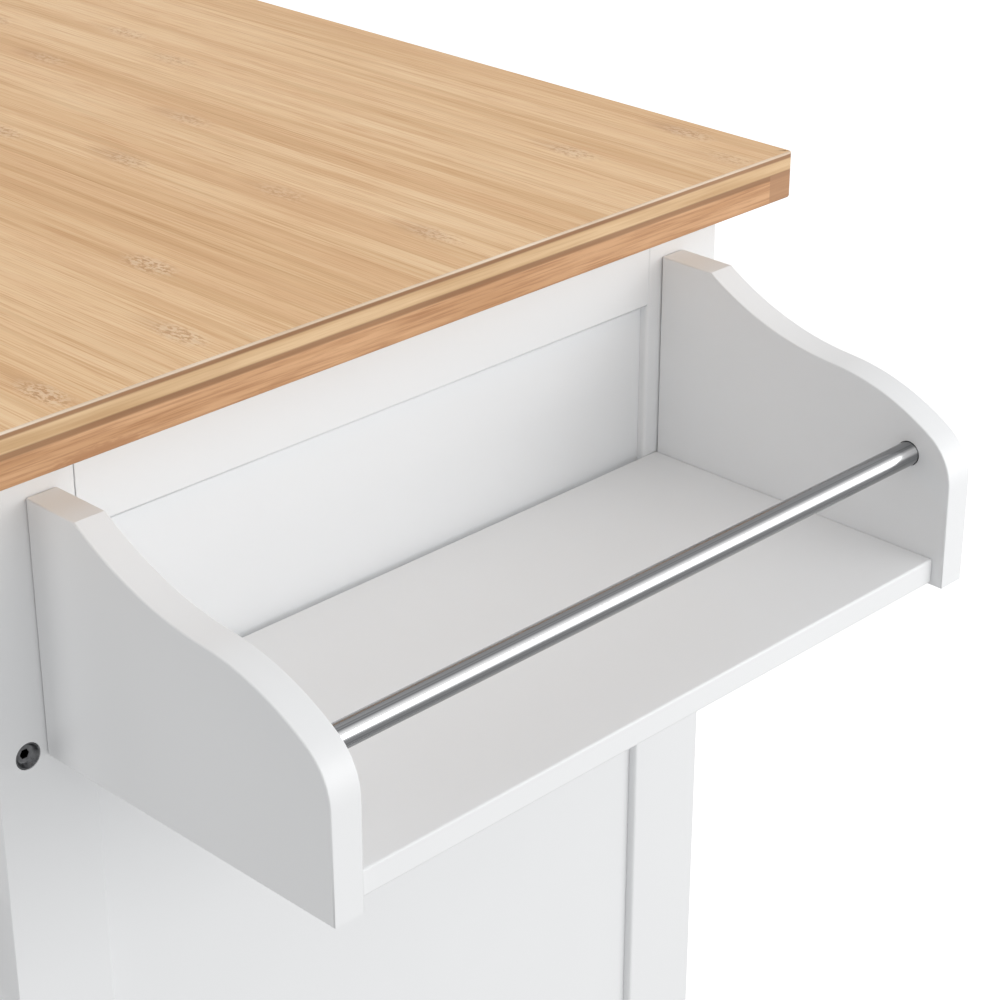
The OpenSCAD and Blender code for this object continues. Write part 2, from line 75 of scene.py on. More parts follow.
class Slot(Enum):
    """The material slots of the record."""

    PAINT = "white_paint"
    BAMBOO = "bamboo"
    PLYWOOD = "drawer_plywood"
    BRUSHED = "brushed_steel"
    ZINC = "zinc_steel"
    DARK = "dark_steel"
    NICKEL = "satin_nickel"
    RUBBER = "grey_rubber"
    PLASTIC = "black_plastic"


class Side(Enum):
    """A choice between two sides of the cart, each with its direction along an axis."""

    @property
    def word(self) -> str:
        """Returns the side's word in the names of the nodes."""
        return self.name.lower()


class End(Side):
    """The two ends of the cart, along X."""

    RACK = 1
    PLAIN = -1


class Row(Side):
    """The front and the back of the cart, along Y."""

    FRONT = -1
    BACK = 1


class Hand(Side):
    """The two doors, along X."""

    LEFT = -1
    RIGHT = 1


def tone(red: int, green: int, blue: int) -> Colour:
    """Turns a colour as it is seen, from 0 to 255 a channel, into a linear one.

    Args:
        red: The red channel.
        green: The green channel.
        blue: The blue channel.

    Returns:
        The linear colour with an alpha of 1.
    """
    linear = (((channel / 255.0 + 0.055) / 1.055) ** 2.4 for channel in (red, green, blue))
    return (*linear, 1.0)


WHITE = tone(255, 255, 255)


# ---------------------------------------------------------------- finishes


class Graph:
    """A material's or world's node tree that grows by one call a node up to its shader."""

    def __init__(self, owner: bpy.types.Material | bpy.types.World, shader: str) -> None:
        """Takes a new material's or world's tree, which holds its shader and output.

        Args:
            owner: The material or world.
            shader: The name of its shader's node.
        """
        owner.use_nodes = True
        self.tree = owner.node_tree
        self.shader = self.tree.nodes[shader]

    def put(self, kind: str, **settings: object) -> bpy.types.Node:
        """Adds a node.

        Args:
            kind: The node's type after the word ShaderNode.
            **settings: The node's own settings.

        Returns:
            The new node.
        """
        node = self.tree.nodes.new("ShaderNode" + kind)
        for key, value in settings.items():
            setattr(node, key, value)
        return node

    def feed(self, target: Socket, value: object) -> None:
        """Links a socket into another, or sets a plain value on it.

        Args:
            target: The socket that takes the value.
            value: A node socket, or a number or colour.
        """
        if isinstance(value, Socket):
            self.tree.links.new(value, target)
        else:
            target.default_value = value

    def place(self, scale: Triple = (1.0, 1.0, 1.0)) -> Socket:
        """Gives the point of the piece in its own frame, scaled.

        Args:
            scale: Pattern units a metre, along each axis.

        Returns:
            The vector socket.
        """
        mapping = self.put("Mapping")
        self.feed(mapping.inputs["Vector"], self.put("TexCoord").outputs["Object"])
        self.feed(mapping.inputs["Scale"], scale)
        return mapping.outputs["Vector"]

    def noise(self, vector: Socket, detail: float = 2.0, roughness: float = 0.5) -> Socket:
        """Gives a noise of one unit's size over the vector.

        Args:
            vector: The scaled point.
            detail: Number of octaves.
            roughness: Weight of the finer octaves.

        Returns:
            The noise, from 0 to 1.
        """
        node = self.put("TexNoise")
        self.feed(node.inputs["Vector"], vector)
        self.feed(node.inputs["Scale"], 1.0)
        self.feed(node.inputs["Detail"], detail)
        self.feed(node.inputs["Roughness"], roughness)
        return node.outputs["Fac"]

    def scatter(self, value: Socket) -> Socket:
        """Gives a random number from 0 to 1 for each value.

        Args:
            value: The number that picks the random one.

        Returns:
            The random number.
        """
        node = self.put("TexWhiteNoise", noise_dimensions="1D")
        self.feed(node.inputs["W"], value)
        return node.outputs["Value"]

    def axis(self, vector: Socket, name: str) -> Socket:
        """Gives one component, X, Y or Z, of a vector.

        Args:
            vector: The vector.
            name: The component's letter.

        Returns:
            The component.
        """
        node = self.put("SeparateXYZ")
        self.feed(node.inputs[0], vector)
        return node.outputs[name]

    def bundle(self, x: object, y: object, z: object) -> Socket:
        """Gives the vector with these three components.

        Args:
            x: The first component, as a socket or a number.
            y: The second.
            z: The third.

        Returns:
            The vector.
        """
        node = self.put("CombineXYZ")
        for socket, value in zip(node.inputs, (x, y, z)):
            self.feed(socket, value)
        return node.outputs[0]

    def reckon(self, operation: str, *values: object) -> Socket:
        """Gives the result of a Math node.

        Args:
            operation: The node's operation.
            *values: Its inputs, as sockets or numbers.

        Returns:
            The result.
        """
        node = self.put("Math", operation=operation)
        for socket, value in zip(node.inputs, values):
            self.feed(socket, value)
        return node.outputs[0]

    def product(self, first: object, second: object) -> Socket:
        """Returns two sockets or numbers multiplied."""
        return self.reckon("MULTIPLY", first, second)

    def sheet(
        self, along: Socket, across: Socket, rates: tuple[float, float], layer: float = 0.0
    ) -> Socket:
        """Gives the point of a flat pattern that is stretched along the grain.

        Args:
            along: The place along the grain.
            across: The place across it.
            rates: Pattern units a metre, along and across.
            layer: The pattern's own layer, which keeps it apart from the others.

        Returns:
            The vector.
        """
        return self.bundle(self.product(along, rates[0]), self.product(across, rates[1]), layer)

    def attribute(self, name: str) -> Socket:
        """Returns the number that the piece's mesh holds under the name."""
        return self.put("Attribute", attribute_name=name).outputs["Fac"]

    def span(
        self, value: Socket, low: float, high: float, start: float, end: float,
        course: str = "SMOOTHSTEP",
    ) -> Socket:
        """Turns the range from low to high into the one from start to end.

        Args:
            value: The number to turn.
            low: The value that gives start.
            high: The value that gives end.
            start: The result at low and below.
            end: The result at high and above.
            course: The way from start to end.

        Returns:
            The result.
        """
        node = self.put("MapRange", interpolation_type=course)
        for key, number in zip(("Value", "From Min", "From Max"), (value, low, high)):
            self.feed(node.inputs[key], number)
        self.feed(node.inputs["To Min"], start)
        self.feed(node.inputs["To Max"], end)
        return node.outputs["Result"]

    def ramp(self, value: Socket, stops: Sequence[tuple[float, Colour]]) -> Socket:
        """Gives a colour for a number from 0 to 1.

        Args:
            value: The number.
            stops: Places and colours, in rising order.

        Returns:
            The colour.
        """
        node = self.put("ValToRGB")
        elements = node.color_ramp.elements
        while len(elements) < len(stops):
            elements.new(0.5)
        for element, (place, colour) in zip(elements, stops):
            element.position = place
            element.color = colour
        self.feed(node.inputs["Fac"], value)
        return node.outputs["Color"]

    def blend(
        self, factor: object, under: object, over: object, mode: str = "MIX"
    ) -> Socket:
        """Lays one colour over another.

        Args:
            factor: Strength of the upper colour.
            under: The lower colour.
            over: The upper colour.
            mode: The blending mode.

        Returns:
            The mixed colour.
        """
        node = self.put("Mix", data_type="RGBA", blend_type=mode)
        colours = [socket for socket in node.inputs if socket.type == "RGBA"]
        self.feed(node.inputs["Factor"], factor)
        self.feed(colours[0], under)
        self.feed(colours[1], over)
        return next(socket for socket in node.outputs if socket.type == "RGBA")

    def relief(self, height: Socket, depth: float, strength: float = 1.0) -> None:
        """Raises the surface by a pattern of the given depth in metres.

        Args:
            height: The pattern, from 0 to 1.
            depth: Height of the pattern at 1, in metres.
            strength: Share of the relief that shows.
        """
        bump = self.put("Bump")
        self.feed(bump.inputs["Height"], height)
        self.feed(bump.inputs["Distance"], depth)
        self.feed(bump.inputs["Strength"], strength)
        self.feed(self.shader.inputs["Normal"], bump.outputs["Normal"])

    def set(self, **values: object) -> None:
        """Sets or links the shader's sockets.

        Args:
            **values: Each socket's value, under its name in lower case with underscores.
        """
        names = {socket.name.lower().replace(" ", "_"): socket for socket in self.shader.inputs}
        for key, value in values.items():
            self.feed(names[key], value)


@dataclass(frozen=True)
class Finish:
    """A finish that makes its material once and hands the same one out afterwards."""

    name: str

    def dress(self, graph: Graph) -> None:
        """Builds the nodes of the finish in an empty graph."""
        raise NotImplementedError

    def material(self) -> bpy.types.Material:
        """Returns the finish's material, and builds it the first time.

        Returns:
            The material, which every piece with this finish shares.
        """
        found = bpy.data.materials.get(self.name)
        if found is None:
            found = bpy.data.materials.new(self.name)
            self.dress(Graph(found, "Principled BSDF"))
        return found


@dataclass(frozen=True)
class SatinPaint(Finish):
    """Sprayed satin paint: a faint orange peel and a slow drift in tone and gloss."""

    shade: Colour = tone(241, 242, 243)
    drift: Colour = tone(238, 239, 240)
    cloud_rate: float = 5.0
    gloss: float = 0.36
    peel: float = 2.2 * MM
    peel_depth: float = 0.02 * MM

    def dress(self, graph: Graph) -> None:
        """Builds the paint's nodes.

        Args:
            graph: The empty graph to build in.
        """
        slow = graph.noise(graph.place((self.cloud_rate,) * 3), 3.0)
        fine = graph.noise(graph.place((1 / self.peel,) * 3))
        graph.set(
            base_color=graph.ramp(slow, [(0.3, self.drift), (0.7, self.shade)]),
            roughness=graph.span(fine, 0.2, 0.8, self.gloss - 0.04, self.gloss + 0.05),
            specular_ior_level=0.45,
        )
        graph.relief(fine, self.peel_depth, 0.35)


@dataclass(frozen=True)
class BambooFace(Finish):
    """Planed bamboo: pressed strips along X with hair-fine streaks and knuckles.

    The knuckles and the stains beside them come from the piece's own attributes. Rates are
    pattern units a metre, along the grain and across it.
    """

    pale: Colour = tone(253, 221, 178)
    body: Colour = tone(246, 206, 158)
    warm: Colour = tone(236, 190, 142)
    dark: Colour = tone(222, 172, 122)
    stain: Colour = tone(190, 138, 92)
    fleck: Colour = tone(246, 220, 188)
    dull_strip: Colour = tone(240, 230, 217)
    plain_strip: Colour = tone(250, 246, 240)
    dull_patch: Colour = tone(236, 226, 212)
    strip_width: float = 19 * MM
    strip_sway: float = 3.5 * MM
    strip_shift: float = 7.0
    streak_rates: tuple[float, float] = (1 / (80 * MM), 1 / (1 * MM))
    cloud_rates: tuple[float, float] = (3.2, 130.0)
    hair_rates: tuple[float, float] = (32.0, 1150.0)
    patch_rates: tuple[float, float] = (5.0, 70.0)

    def dress(self, graph: Graph) -> None:
        """Builds the nodes of the strips, the streaks and the knuckles.

        Args:
            graph: The empty graph to build in.
        """
        flat = graph.place()
        along, across = graph.axis(flat, "X"), graph.axis(flat, "Y")
        sway = graph.noise(graph.place((2.5, 9.0, 9.0)), detail=1.0)
        swayed = graph.reckon("MULTIPLY_ADD", sway, self.strip_sway, across)
        strip = graph.reckon("FLOOR", graph.reckon("DIVIDE", swayed, self.strip_width))
        chance = graph.scatter(strip)
        lane = graph.reckon("MULTIPLY_ADD", chance, self.strip_shift, along)
        fine = graph.noise(graph.sheet(lane, across, self.streak_rates), 3.0, 0.6)
        broad = graph.noise(graph.sheet(lane, across, self.cloud_rates))
        hairs = graph.noise(graph.sheet(lane, across, self.hair_rates, 5.0))
        patches = graph.noise(graph.sheet(lane, across, self.patch_rates, 9.0), 1.0)
        wood = graph.ramp(fine, [(0.28, self.dark), (0.46, self.body), (0.72, self.pale)])
        tint = graph.ramp(broad, [(0.34, self.dull_patch), (0.55, WHITE)])
        wood = graph.blend(0.9, wood, tint, "MULTIPLY")
        strips = graph.ramp(
            chance, [(0.0, self.dull_strip), (0.4, self.plain_strip), (0.75, WHITE)]
        )
        wood = graph.blend(0.9, wood, strips, "MULTIPLY")
        wood = graph.blend(graph.span(patches, 0.45, 0.62, 0.0, 0.35), wood, self.warm)
        dashes = graph.product(
            graph.span(hairs, 0.54, 0.66, 0.0, 0.75), graph.span(patches, 0.35, 0.6, 0.35, 1.0)
        )
        wood = graph.blend(dashes, wood, self.dark)
        wood = self.add_knuckles(graph, wood)
        graph.set(
            base_color=wood,
            roughness=graph.span(fine, 0.2, 0.8, 0.46, 0.36),
            specular_ior_level=0.4,
        )
        graph.relief(fine, 0.03 * MM, 0.4)

    def add_knuckles(self, graph: Graph, wood: Socket) -> Socket:
        """Lays the knuckles' pale dashes and brown stains over the wood.

        Args:
            graph: The graph to build in.
            wood: The colour of the plain wood.

        Returns:
            The colour with the knuckles on it.
        """
        knuckle, stain = graph.attribute("knuckle"), graph.attribute("stain")
        crackle = graph.noise(graph.place((240.0, 520.0, 1.0)), 3.0, 0.7)
        fibres = graph.noise(graph.place((70.0, 900.0, 1.0)))
        blush = graph.product(stain, graph.span(fibres, 0.3, 0.62, 0.2, 0.6))
        wood = graph.blend(blush, wood, self.stain)
        shade = graph.product(knuckle, graph.span(crackle, 0.4, 0.5, 0.75, 0.0))
        wood = graph.blend(shade, wood, self.stain)
        light = graph.product(knuckle, graph.span(crackle, 0.46, 0.56, 0.0, 0.6))
        return graph.blend(light, wood, self.fleck)


@dataclass(frozen=True)
class BambooEdge(Finish):
    """The worktop's edge: pressed layers one above the other, and a painted arris highlight.

    The layers follow Z. The grain runs along whichever of X and Y the edge follows. Rates are
    pattern units a metre, along the grain and upwards.
    """

    bottom: float = 0.0
    thickness: float = 0.0
    half_length: float = 0.0
    half_width: float = 0.0
    middle_x: float = 0.0
    block_width: float = 16 * MM
    sway: float = 0.02
    fine_rates: tuple[float, float] = (28.0, 900.0)
    coarse_rates: tuple[float, float] = (11.0, 240.0)
    knot_rates: tuple[float, float] = (9.0, 60.0)
    ragged_rates: tuple[float, float] = (220.0, 900.0)

    # arris: the pale painted highlight along the rounding of the top edge.
    arris: Colour = tone(240, 222, 200)
    seam: Colour = tone(166, 125, 88)
    tan: Colour = tone(228, 194, 150)
    amber: Colour = tone(218, 170, 126)
    streak: Colour = tone(180, 128, 86)
    dull: Colour = tone(226, 214, 198)
    block: Colour = tone(176, 132, 96)

    def dress(self, graph: Graph) -> None:
        """Builds the nodes of the layers, their streaks and the corner blocks.

        Args:
            graph: The empty graph to build in.
        """
        flat = graph.place()
        x, y, z = (graph.axis(flat, name) for name in "XYZ")
        grain = graph.reckon("ADD", x, y)
        wave = graph.noise(graph.bundle(graph.product(grain, 14.0), 0.0, 0.0))
        level = graph.reckon("DIVIDE", graph.reckon("SUBTRACT", z, self.bottom), self.thickness)
        level = graph.reckon("MULTIPLY_ADD", graph.reckon("SUBTRACT", wave, 0.5), self.sway, level)
        layers = graph.ramp(
            level,
            [
                (0.0, self.amber),
                (0.5, self.amber),
                (0.53, self.seam),
                (0.615, self.seam),
                (0.645, self.tan),
                (0.865, self.tan),
                (0.895, self.seam),
                (0.95, self.seam),
                # The pale painted highlight on the arris, at the very top.
                (0.972, self.arris),
            ],
        )
        fine = graph.noise(graph.sheet(grain, z, self.fine_rates), 4.0, 0.62)
        coarse = graph.noise(graph.sheet(grain, z, self.coarse_rates, 3.0))
        streaks = graph.product(
            graph.span(fine, 0.42, 0.66, 0.0, 0.65), graph.span(level, 0.5, 0.62, 1.0, 0.3)
        )
        wood = graph.blend(streaks, layers, self.streak)
        tint = graph.ramp(coarse, [(0.35, self.dull), (0.65, WHITE)])
        wood = graph.blend(0.8, wood, tint, "MULTIPLY")
        wood = self.add_knots(graph, wood, grain, z, level)
        graph.set(base_color=self.add_blocks(graph, wood, x, y, level), roughness=0.42)
        graph.relief(fine, 0.04 * MM, 0.4)

    def add_knots(
        self, graph: Graph, wood: Socket, grain: Socket, z: Socket, level: Socket
    ) -> Socket:
        """Scatters small brown knots in the amber layer.

        Args:
            graph: The graph to build in.
            wood: The layers' colour.
            grain: The place along the edge.
            z: The height.
            level: The height within the worktop, from 0 to 1.

        Returns:
            The colour with the knots on it.
        """
        cells = graph.put("TexVoronoi", feature="F1")
        graph.feed(cells.inputs["Vector"], graph.sheet(grain, z, self.knot_rates))
        graph.feed(cells.inputs["Scale"], 1.0)
        ragged = graph.noise(graph.sheet(grain, z, self.ragged_rates))
        near = graph.reckon("MULTIPLY_ADD", ragged, 0.22, cells.outputs["Distance"])
        spot = graph.span(near, 0.24, 0.36, 0.8, 0.0)
        low_layer = graph.span(level, 0.4, 0.5, 1.0, 0.0)
        return graph.blend(graph.product(spot, low_layer), wood, self.streak)

    def add_blocks(self, graph: Graph, wood: Socket, x: Socket, y: Socket, level: Socket) -> Socket:
        """Darkens the crossing strip of the lower layer where it shows beside each corner.

        Args:
            graph: The graph to build in.
            wood: The colour of the edge.
            x: The place along X.
            y: The place along Y.
            level: The height within the worktop, from 0 to 1.

        Returns:
            The colour with the blocks on it.
        """
        start = self.half_width - self.block_width
        beside = graph.span(graph.reckon("ABSOLUTE", y), start - 0.3 * MM, start, 0.0, 1.0)
        end_only = graph.span(
            graph.reckon("ABSOLUTE", graph.reckon("SUBTRACT", x, self.middle_x)),
            self.half_length - 4 * MM, self.half_length - 2 * MM, 0.0, 1.0,
        )
        low_layer = graph.span(level, 0.6, 0.62, 0.75, 0.0)
        mask = graph.product(graph.product(beside, end_only), low_layer)
        return graph.blend(mask, wood, self.block)


@dataclass(frozen=True)
class DrawerBoard(Finish):
    """Pale plywood of the drawer: a birch-like face with soft flames along the grain.

    The grain gives pattern units a metre, and runs along the axis that has the fewest.
    """

    pale: Colour = tone(231, 211, 178)
    body: Colour = tone(216, 190, 152)
    pore: Colour = tone(190, 158, 118)
    grain: Triple = (70.0, 6.0, 70.0)

    def dress(self, graph: Graph) -> None:
        """Builds the plywood's nodes.

        Args:
            graph: The empty graph to build in.
        """
        flame = graph.noise(graph.place(self.grain), 4.0, 0.6)
        pores = graph.noise(graph.place(tuple(8 * rate for rate in self.grain)))
        wood = graph.ramp(flame, [(0.3, self.body), (0.7, self.pale)])
        wood = graph.blend(graph.span(pores, 0.58, 0.7, 0.0, 0.35), wood, self.pore)
        graph.set(base_color=wood, roughness=graph.span(flame, 0.3, 0.7, 0.5, 0.6))
        graph.relief(pores, 0.03 * MM, 0.3)


@dataclass(frozen=True)
class Metal(Finish):
    """A metal with fine lines along its grain and a slow drift in gloss."""

    light: Colour = tone(205, 205, 207)
    shadow: Colour = tone(165, 166, 168)
    smooth: float = 0.22
    rough: float = 0.34
    grain: Triple = (900.0, 8.0, 900.0)
    cloud_rate: float = 35.0
    line_depth: float = 0.01 * MM

    def dress(self, graph: Graph) -> None:
        """Builds the metal's nodes.

        Args:
            graph: The empty graph to build in.
        """
        lines = graph.noise(graph.place(self.grain), 3.0, 0.6)
        cloud = graph.noise(graph.place((self.cloud_rate,) * 3))
        both = graph.reckon("MULTIPLY_ADD", cloud, 0.35, graph.product(lines, 0.65))
        graph.set(
            base_color=graph.ramp(both, [(0.38, self.shadow), (0.6, self.light)]),
            roughness=graph.span(lines, 0.3, 0.7, self.smooth, self.rough),
            metallic=1.0,
        )
        graph.relief(lines, self.line_depth, 0.4)


@dataclass(frozen=True)
class DrawnTube(Finish):
    """Drawn steel tube with its reflection painted on: a painted highlight along the crown, a
    painted dark reflection to either side of it, and painted dark reflection streaks along Y.

    All of it follows the angle round the tube's axis, so it is the same along the tube.
    """

    middle_x: float = 0.0
    middle_z: float = 0.0
    # light: the painted highlight along the crown. The next two colours are the painted dark
    # reflection beside it and the painted dark reflection streaks.
    light: Colour = tone(236, 236, 237)
    painted_dark_reflection: Colour = tone(150, 151, 153)
    line: Colour = tone(104, 105, 107)
    # Where the painted highlight lies round the axis, in degrees, and the span over which it fades
    # into the painted dark reflection.
    crown_angle: float = 36.0
    crown_edge: tuple[float, float] = (0.12, 0.4)
    line_rates: tuple[float, float] = (7.0, 0.8)

    def dress(self, graph: Graph) -> None:
        """Builds the tube's nodes.

        Args:
            graph: The empty graph to build in.
        """
        flat = graph.place()
        x, y, z = (graph.axis(flat, name) for name in "XYZ")
        rise = graph.reckon("SUBTRACT", z, self.middle_z)
        angle = graph.reckon("ARCTAN2", rise, graph.reckon("SUBTRACT", x, self.middle_x))
        lines = graph.noise(graph.sheet(angle, y, self.line_rates, 2.0), 3.0)
        # The painted highlight sits at the crown's angle; away from it the painted dark reflection
        # takes over.
        crown = math.radians(self.crown_angle)
        aside = graph.reckon("ABSOLUTE", graph.reckon("SUBTRACT", angle, crown))
        painted_dark_mask = graph.span(aside, *self.crown_edge, 0.0, 1.0)
        metal = graph.blend(painted_dark_mask, self.light, self.painted_dark_reflection)
        # marks: painted dark reflection streaks, only away from the painted highlight.
        marks = graph.product(painted_dark_mask, graph.span(lines, 0.52, 0.6, 0.0, 0.75))
        graph.set(
            base_color=graph.blend(marks, metal, self.line),
            roughness=graph.span(lines, 0.3, 0.7, 0.14, 0.26),
            metallic=1.0,
        )
        graph.relief(lines, 0.01 * MM, 0.3)


@dataclass(frozen=True)
class Moulded(Finish):
    """Moulded rubber or plastic: an even tone with a fine spark-eroded texture."""

    shade: Colour = tone(120, 121, 123)
    worn: Colour = tone(132, 133, 135)
    dullness: float = 0.6
    texture: float = 0.8 * MM
    cloud_rate: float = 40.0

    def dress(self, graph: Graph) -> None:
        """Builds the moulding's nodes.

        Args:
            graph: The empty graph to build in.
        """
        fine = graph.noise(graph.place((1 / self.texture,) * 3))
        cloud = graph.noise(graph.place((self.cloud_rate,) * 3), 3.0)
        graph.set(
            base_color=graph.ramp(cloud, [(0.35, self.shade), (0.7, self.worn)]),
            roughness=graph.span(fine, 0.3, 0.7, self.dullness - 0.06, self.dullness + 0.06),
        )
        graph.relief(fine, 0.04 * MM, 0.5)


PAINT = SatinPaint("white_satin_paint")
BAMBOO = BambooFace("bamboo_face")
PLYWOOD = DrawerBoard("drawer_plywood_along")
PLYWOOD_ACROSS = DrawerBoard("drawer_plywood_across", grain=(6.0, 70.0, 70.0))
ZINC = Metal("zinc_plated_steel", light=tone(198, 200, 204), shadow=tone(180, 182, 186),
             smooth=0.3, rough=0.46, grain=(260.0, 260.0, 260.0))
DARK = Metal("dark_plated_steel", light=tone(128, 129, 131), shadow=tone(88, 89, 91),
             smooth=0.24, rough=0.42, grain=(420.0, 420.0, 420.0))
NICKEL = Metal("satin_nickel", light=tone(206, 203, 197), shadow=tone(176, 173, 167),
               smooth=0.24, rough=0.36, grain=(300.0, 300.0, 300.0))
RUBBER = Moulded("grey_rubber_tread", dullness=0.62)
HUB = Moulded("pale_nylon_hub", shade=tone(196, 198, 200), worn=tone(206, 207, 209),
              dullness=0.42)
PLASTIC = Moulded("black_plastic_moulding", shade=tone(38, 39, 41), worn=tone(50, 51, 53),
                  dullness=0.45)


# ---------------------------------------------------------------- workpieces


class Blank:
    """A workpiece: a mesh that operators shape before it goes on show as a piece."""

    def __init__(self) -> None:
        """Makes an empty workpiece."""
        self.mesh = bmesh.new()

    def add_board(
        self, low: Vector, high: Vector, radius: float = 0.0, segments: int = 3
    ) -> "Blank":
        """Adds a board between two corners.

        Args:
            low: The lowest corner.
            high: The highest corner.
            radius: Rounding of all its edges.
            segments: Facets in the rounding.

        Returns:
            The workpiece itself.
        """
        size = high - low
        place = Matrix.Translation((low + high) / 2) @ Matrix.Diagonal((*size, 1.0))
        corners = bmesh.ops.create_cube(self.mesh, size=1.0, matrix=place)["verts"]
        if radius > 0.0:
            self.round_edges({edge for corner in corners for edge in corner.link_edges},
                             radius, segments)
        return self

    def add_turned(
        self, profile: Profile, start: Vector, axis: Vector, steps: int = 48, ring: bool = False
    ) -> "Blank":
        """Adds a turned shape.

        Args:
            profile: Pairs of radius and distance along the axis.
            start: The point of the axis where that distance is 0.
            axis: The direction of the axis.
            steps: Facets round the axis.
            ring: Whether the profile closes on itself, clear of the axis.

        Returns:
            The workpiece itself.
        """
        axis = axis.normalized()
        out = axis.orthogonal().normalized()
        dots = [self.mesh.verts.new(start + out * r + axis * d) for r, d in profile]
        pairs = list(zip(dots, dots[1:])) + ([(dots[-1], dots[0])] if ring else [])
        wires = [self.mesh.edges.new(pair) for pair in pairs]
        before = set(self.mesh.faces)
        bmesh.ops.spin(self.mesh, geom=dots + wires, cent=start, axis=axis, dvec=(0, 0, 0),
                       angle=math.tau, steps=steps, use_merge=True, use_duplicate=False)
        bmesh.ops.remove_doubles(self.mesh, verts=self.mesh.verts, dist=0.002 * MM)
        faces = [face for face in self.mesh.faces if face not in before]
        bmesh.ops.recalc_face_normals(self.mesh, faces=faces)
        for face in faces:
            face.smooth = True
        self.crease()
        return self

    def add_rod(self, start: Vector, end: Vector, radius: float, steps: int = 48) -> "Blank":
        """Adds a plain round rod.

        Args:
            start: The middle of its first end.
            end: The middle of its other end.
            radius: Its radius.
            steps: Facets round it.

        Returns:
            The workpiece itself.
        """
        length = (end - start).length
        return self.add_turned([(0, 0), (radius, 0), (radius, length), (0, length)], start,
                               end - start, steps)

    def add_drill(self, mouth: Vector, outward: Vector, depth: float, radius: float) -> "Blank":
        """Adds the drill of a blind hole, which starts a little outside the face.

        Args:
            mouth: The hole's middle on the face.
            outward: The way out of the face.
            depth: The hole's depth.
            radius: The hole's radius.

        Returns:
            The workpiece itself.
        """
        return self.add_rod(mouth + outward * OVERSHOOT, mouth - outward * depth, radius)

    def round_edges(
        self, edges: Iterable[bmesh.types.BMEdge], radius: float, segments: int = 3
    ) -> "Blank":
        """Rounds edges and shades the rounding smooth.

        Args:
            edges: The edges.
            radius: Radius of the rounding.
            segments: Facets in the rounding.

        Returns:
            The workpiece itself.
        """
        made = bmesh.ops.bevel(self.mesh, geom=list(edges), offset=radius, segments=segments,
                               profile=0.5, affect="EDGES", material=-1, clamp_overlap=True)
        for face in made["faces"]:
            face.smooth = True
        return self

    def edges_at(self, axis: int, level: float) -> list[bmesh.types.BMEdge]:
        """Returns the edges that lie at one level along X (0), Y (1) or Z (2)."""
        return [edge for edge in self.mesh.edges
                if all(abs(vert.co[axis] - level) < SAME for vert in edge.verts)]

    def crease(self, angle: float = 40.0) -> "Blank":
        """Keeps the edges sharp that turn by more than the angle in degrees.

        Args:
            angle: The smallest turn that stays sharp.

        Returns:
            The workpiece itself.
        """
        limit = math.radians(angle)
        for edge in self.mesh.edges:
            if edge.is_manifold and edge.calc_face_angle(0.0) > limit:
                edge.smooth = False
        return self

    def loose(self, name: str) -> bpy.types.Object:
        """Returns an object with the workpiece's mesh, and links it to the scene.

        Args:
            name: The name of the object and its mesh.

        Returns:
            The object.
        """
        data = bpy.data.meshes.new(name)
        self.mesh.to_mesh(data)
        piece = bpy.data.objects.new(name, data)
        bpy.context.scene.collection.objects.link(piece)
        return piece

    def join(self, other: "Blank") -> "Blank":
        """Adds another workpiece's mesh to this one.

        Args:
            other: The other workpiece, which is used up.

        Returns:
            The workpiece itself.
        """
        data = bpy.data.meshes.new("joined")
        other.mesh.to_mesh(data)
        other.mesh.free()
        self.mesh.from_mesh(data)
        bpy.data.meshes.remove(data)
        return self

    def cut(self, drill: "Blank") -> "Blank":
        """Cuts another workpiece out of this one.

        Args:
            drill: The shape to take away.

        Returns:
            The workpiece itself.
        """
        work, tool = self.loose("work"), drill.loose("tool")
        knife = work.modifiers.new("cut", "BOOLEAN")
        knife.operation, knife.solver, knife.object = "DIFFERENCE", "EXACT", tool
        shaped = work.evaluated_get(bpy.context.evaluated_depsgraph_get())
        self.mesh.clear()
        self.mesh.from_mesh(shaped.to_mesh())
        shaped.to_mesh_clear()
        for spent in (work, tool):
            data = spent.data
            bpy.data.objects.remove(spent)
            bpy.data.meshes.remove(data)
        return self

    def show(
        self,
        name: str,
        finishes: Sequence[Finish],
        pick: Callable[[bmesh.types.BMFace], int] | None = None,
    ) -> bpy.types.Object:
        """Turns the workpiece into an object with its finishes.

        Args:
            name: The piece's name.
            finishes: Its finishes, in the order of the material slots.
            pick: Gives the slot of each face, or nothing for the first slot.

        Returns:
            The object.
        """
        for face in self.mesh.faces:
            face.material_index = pick(face) if pick else 0
        piece = self.loose(name)
        for finish in finishes:
            piece.data.materials.append(finish.material())
        self.mesh.free()
        return piece


def in_metres(profile: Profile) -> list[tuple[float, float]]:
    """Returns a profile of millimetres in metres."""
    return [(radius * MM, along * MM) for radius, along in profile]


def install(piece: bpy.types.Object, body: str, slot: Slot, *nodes: str) -> bpy.types.Object:
    """Lets a piece ride on its body in place of the nodes that it stands for.

    Args:
        piece: The finished piece.
        body: The body that it moves with.
        slot: The record's material slot; not used.
        *nodes: The nodes that it replaces.

    Returns:
        The piece.
    """
    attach(piece, body)
    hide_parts(*nodes)
    LOG.info("%s rides on %s for %s", piece.name, body, ", ".join(nodes))
    return piece


def keep(node: str, finish: Finish) -> None:
    """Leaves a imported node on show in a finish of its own.

    Args:
        node: The node.
        finish: Its finish.
    """
    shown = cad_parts[node]
    if not shown.material_slots:
        shown.data.materials.append(None)
    for holder in shown.material_slots:
        holder.material = finish.material()
    LOG.info("%s stays, in %s", node, finish.name)


